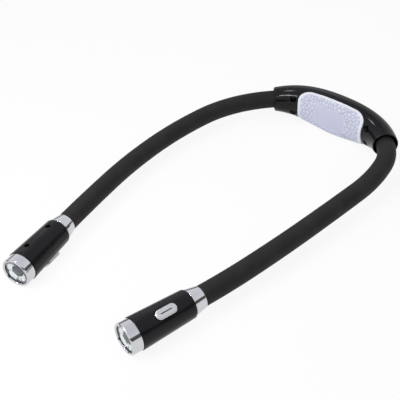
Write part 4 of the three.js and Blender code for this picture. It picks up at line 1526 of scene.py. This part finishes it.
class BuildOptics(Piece, bpy.types.Operator):
    """Build the lenses, the lobed reflectors and the boards with the light chips"""

    bl_idname = "reading_light.optics"
    bl_label = "Lens, Reflector and Light"

    def execute(self, context):
        s, plan = settings("head"), HeadPlan()
        radius, crown, rim_turn, steps = s.lens / 2, 0.0002, 0.05, 12
        dome = [(radius * math.cos(t), plan.lens_front - crown * (1 - math.sin(t)), 0)
                for t in np.linspace(rim_turn, QUARTER_TURN, steps)[:-1]]
        outline = [(0, plan.lens_back, 0), (radius, plan.lens_back, 0), *dome,
                   (0, plan.lens_front, 0)]
        for name, arm in ARMS.items():
            roll = math.radians(arm["lobes"])
            lens = turned(f"{name}_clear_lens", outline, s.sides)
            fit(name, lens, clear_lens, "lens")
            bowl = self.bowl(f"{name}_lobed_reflector", plan)
            fit(name, bowl, reflector_plating, "reflector",
                turn=40, roll=roll)
            board = self.board(f"{name}_light_board", plan)
            fit(name, board, light_board, "light_module", roll=roll)
        return {"FINISHED"}

    def board(self, name, plan):
        """A round board with a square block that reaches up into the bowl, and a round
        chip on it."""
        s = settings("head")
        chip_share, chip_height = 0.72, 0.0003
        radius, front = plan.spigot_bore - s.gap, plan.board_back + s.board
        made = turned(name, [(0, plan.board_back, 0), (radius, plan.board_back, 0.0001),
                             (radius, front, 0.0001), (0, front, 0)], s.sides)
        half, top = s.chip / 2, plan.bowl_front - s.chip_recess
        base = block((-half, front - s.board / 2, -half), (half, top, half))
        soften(base, 0.00012)
        chip = rod(half * chip_share, front, top + chip_height)
        soften(chip, 0.0002)
        carve(made, "UNION", [base, chip])
        mark(made, "chip", lambda face: face.center.y > top + HAIR)
        return made

    def bowl(self, name, plan):
        """A flanged block with a dish in it. The dish's rim has four lobes."""
        s = settings("head")
        outer, flange = plan.spigot_bore - s.gap, s.lens / 2 - s.gap
        rings, sides, flare, fullness, facing_on = 26, 160, 0.7, 0.7, 0.95
        share = np.linspace(0, 1, rings)
        start = plan.bowl_front - s.dish
        solid = [(flange, plan.bowl_front), (flange, plan.seat), (outer, plan.seat),
                 (outer, plan.bowl_back), (s.throat, plan.bowl_back)]
        dish = np.column_stack([s.throat + (s.mouth - s.throat) * share**flare,
                                start + (plan.bowl_front - start) * share])
        radii, places = np.concatenate([solid, dish]).T
        lobes = np.concatenate([[0] * len(solid), s.lobe * np.sqrt(share)])
        turns = even_turns(sides)[:, None]
        wide = radii * (1 + lobes * (2 * np.abs(np.cos(2 * turns)) ** fullness - 1))
        made = sweep(name, spun(wide, places, turns))
        mark(made, "land", lambda face: face.normal.y > facing_on
             and face.center.y > plan.bowl_front - HAIR)
        return made


class BuildButtons(Piece, bpy.types.Operator):
    """Build the push buttons, with their flanges, domed tops and grooves"""

    bl_idname = "reading_light.buttons"
    bl_label = "Buttons"

    def execute(self, context):
        s, plan = settings("head"), HeadPlan()
        top = plan.radius(plan.button) + s.button_proud
        rows = [[(x, y, height) for x, y in plan.on_button(
                    stadium(plan.button_length, s.button_width, inset))]
                for inset, height in self.rings(plan, top)]
        bar = plan.on_button(stadium(s.groove_length, s.groove, count=24))
        floor, reach, below = top - s.groove_depth, 0.56, 0.00016

        def in_groove(face):
            x, y, z = face.center
            off = math.hypot(x / s.groove, (y - plan.button) / s.groove_length)
            return off < reach and floor - s.groove_depth < z < top - below

        for name in ARMS:
            made = sweep(f"{name}_push_button", rows, joined=False)
            carve(made, "DIFFERENCE", [prism(bar, floor, top + s.button_proud)])
            soften(made, 0.00008)
            # Marks the groove's faces, where the finish paints shade
            mark(made, "groove", in_groove)
            fit(name, made, satin_silver, "button", 35, body="button")
        return {"FINISHED"}

    def rings(self, plan, top):
        """The insets and heights of the outlines that a button is drawn through."""
        s = settings("head")
        flange, soft, crown = 0.0008, 0.0007, 0.00012
        half = s.button_width / 2
        reach = plan.button_length / 2 + flange
        bore = plan.radius(plan.button - reach) - s.barrel_wall
        flange_top = math.sqrt(bore**2 - (half + flange) ** 2) - s.gap
        base = flange_top - flange
        edge = [(soft * (1 - math.cos(t)), top - soft + soft * math.sin(t))
                for t in np.linspace(0, QUARTER_TURN, 7)[1:]]
        dome = [(inset, top + crown * (1 - ((half - inset) / half) ** 2))
                for inset in np.linspace(soft * 1.2, half, 8)]
        return [(half, base), (-flange, base), (-flange, flange_top), (0, flange_top),
                (0, top - soft), *edge, *dome]


class BuildHeadScrews(Piece, bpy.types.Operator):
    """Build the screws that close the barrels"""

    bl_idname = "reading_light.head_screws"
    bl_label = "Head Screws"

    def execute(self, context):
        seat = -0.0057
        in_seat = Matrix.Translation((0, seat, 0))
        for name in ARMS:
            for i, place in enumerate(HeadPlan().screws, 1):
                matrix = Route(name).head() @ screw_matrix(place) @ in_seat
                made = cross_screw(f"{name}_barrel_screw_{i}", matrix, diameter=0.0018,
                                   head=0.0029, head_height=0.001, reach=0.009)
                replaced = [f"{name}_head_screw_{i}"]
                dress(made, dark_steel, f"{name}_head", replaced)
        return {"FINISHED"}


class FinishElectronics(Piece, bpy.types.Operator):
    """Finish the circuit boards and switches inside the heads"""

    bl_idname = "reading_light.electronics"
    bl_label = "Boards and Switches"

    def execute(self, context):
        for name in ARMS:
            redress(f"{name}_circuit_board", board_green)
            redress(f"{name}_switch", switch_black)
        return {"FINISHED"}


class BuildStage(Piece, bpy.types.Operator):
    """Set up the floor, the lamps, the surroundings and the camera"""

    bl_idname = "reading_light.stage"
    bl_label = "Stage"

    def execute(self, context):
        s = settings("stage")
        scene = context.scene
        self.floor(s)
        self.surroundings(scene, s)
        self.lamp("key_lamp", (0.02, -0.48, 0.7), (0, -0.06, 0), 0.6, s.key)
        self.lamp("spark_lamp", (-0.3, -0.1, 0.6), (0, -0.05, 0), 0.07, s.spark)
        self.lamp("glint_lamp", (-0.07, -0.432, 0.412), (-0.036, -0.011, 0.023), 0.33,
                  s.glint, width=0.035, roll=42)
        data = bpy.data.cameras.new("camera")
        data.lens = s.lens
        data.clip_start, data.clip_end = 0.01, 20
        camera = new_object("camera", data)
        camera.location = s.camera_at
        camera.rotation_euler = Euler(s.camera_turn)
        scene.camera = camera
        scene.view_settings.view_transform = "Standard"
        return {"FINISHED"}

    def floor(self, s):
        """A wide pale floor: white where it is seen straight on, with soft shadows."""
        low, high = -4.0, 4.0
        corners = [(low, low, 0), (high, low, 0), (high, high, 0), (low, high, 0)]
        mesh = bpy.data.meshes.new("floor")
        mesh.from_pydata(corners, [], [(0, 1, 2, 3)])
        floor = new_object("floor", mesh)
        material, f = new_finish("floor_paper")
        rays = f.ray("Camera") + f.ray("Glossy") + f.ray("Transmission")
        seen = f.maths("MINIMUM", rays, 1.0)
        paper = f.surface(f.mix(f.noise(40), s.floor, darker(s.floor, 0.99)), 0.9)
        plain = {"Color": (1, 1, 1), "Strength": 1.0}
        white = f.node("ShaderNodeEmission", sockets=plain)
        f.show(f.blend(seen * s.white, paper, white))
        mesh.materials.append(material)

    def surroundings(self, scene, s):
        """White straight ahead, a studio with dark cards in reflections, and an even
        light on everything else."""
        world = bpy.data.worlds.new("studio")
        world.use_nodes = True
        scene.world = world
        f = Finish(world.node_tree, "ShaderNodeOutputWorld")

        def backdrop(tint, strength=1.0):
            sockets = {"Color": tint, "Strength": strength}
            return f.node("ShaderNodeBackground", sockets=sockets)

        way = f.node("ShaderNodeTexCoord", output="Generated")
        aside, rise = f.along(way, 0), f.along(way, 2)
        # A card between two slanting lines, and one low on the wearer's -X side
        card = ((rise - aside * 0.34 + 0.15).eased(0, 0.05)
                * (aside * 0.68 + 0.1 - rise).eased(0, 0.14))
        band = rise.eased(0, 0.04) * (1 - rise.eased(0.16, 0.3))
        flag = (-aside).eased(0.2, 0.4) * band
        stops = [(0.0, (0.98, 0.98, 1.0)), (0.3, (0.97, 0.98, 1.0)),
                 (0.6, (0.91, 0.93, 0.98)), (1.0, (0.76, 0.76, 0.82))]
        sky = f.node("ShaderNodeValToRGB", {"stops": stops}, {0: rise})
        studio = f.mix(flag, f.mix(card, sky, (0.10, 0.10, 0.085)), (0.15, 0.15, 0.15))
        even = backdrop((1, 1, 1), s.ambient)
        lit = f.blend(f.ray("Glossy"), even, backdrop(studio))
        seen = f.maths("MINIMUM", f.ray("Camera") + f.ray("Transmission"), 1.0)
        f.show(f.blend(seen, lit, backdrop((1, 1, 1))))

    def lamp(self, name, at, towards, size, power, width=None, roll=0):
        """A square lamp, or a strip of a width, rolled about its beam in degrees."""
        data = bpy.data.lights.new(name, "AREA")
        data.shape = "RECTANGLE"
        data.size, data.size_y = size, width or size
        data.energy = power
        lamp = new_object(name, data)
        beam = (Vector(towards) - Vector(at)).to_track_quat("-Z", "Y")
        turn = Matrix.Rotation(math.radians(roll), 4, "Z")
        lamp.matrix_world = Matrix.Translation(at) @ beam.to_matrix().to_4x4() @ turn


PIECES = (
    BuildOuterShell,
    BuildInnerShell,
    BuildBay,
    BuildPad,
    BuildHousingScrews,
    BuildSleeves,
    FinishArmCores,
    BuildCollars,
    BuildBarrels,
    BuildBezels,
    BuildOptics,
    BuildButtons,
    BuildHeadScrews,
    FinishElectronics,
    BuildStage,
)


class ReadingLightPanel(bpy.types.Panel):
    """Lists the operators that build the reading light"""

    bl_idname = "VIEW3D_PT_reading_light"
    bl_label = "Reading Light"
    bl_space_type = "VIEW_3D"
    bl_region_type = "UI"
    bl_category = "Reading Light"

    def draw(self, context):
        column = self.layout.column()
        for piece in PIECES:
            column.operator(piece.bl_idname)


def register():
    for group, kind in GROUPS.items():
        bpy.utils.register_class(kind)
        setattr(bpy.types.Scene, f"reading_light_{group}", PointerProperty(type=kind))
    for piece in PIECES:
        bpy.utils.register_class(piece)
    bpy.utils.register_class(ReadingLightPanel)


def unregister():
    bpy.utils.unregister_class(ReadingLightPanel)
    for piece in reversed(PIECES):
        bpy.utils.unregister_class(piece)
    for group, kind in reversed(GROUPS.items()):
        delattr(bpy.types.Scene, f"reading_light_{group}")
        bpy.utils.unregister_class(kind)


def main():
    register()
    for piece in PIECES:
        group, name = piece.bl_idname.split(".")
        getattr(getattr(bpy.ops, group), name)()


if __name__ == "__main__":
    main()
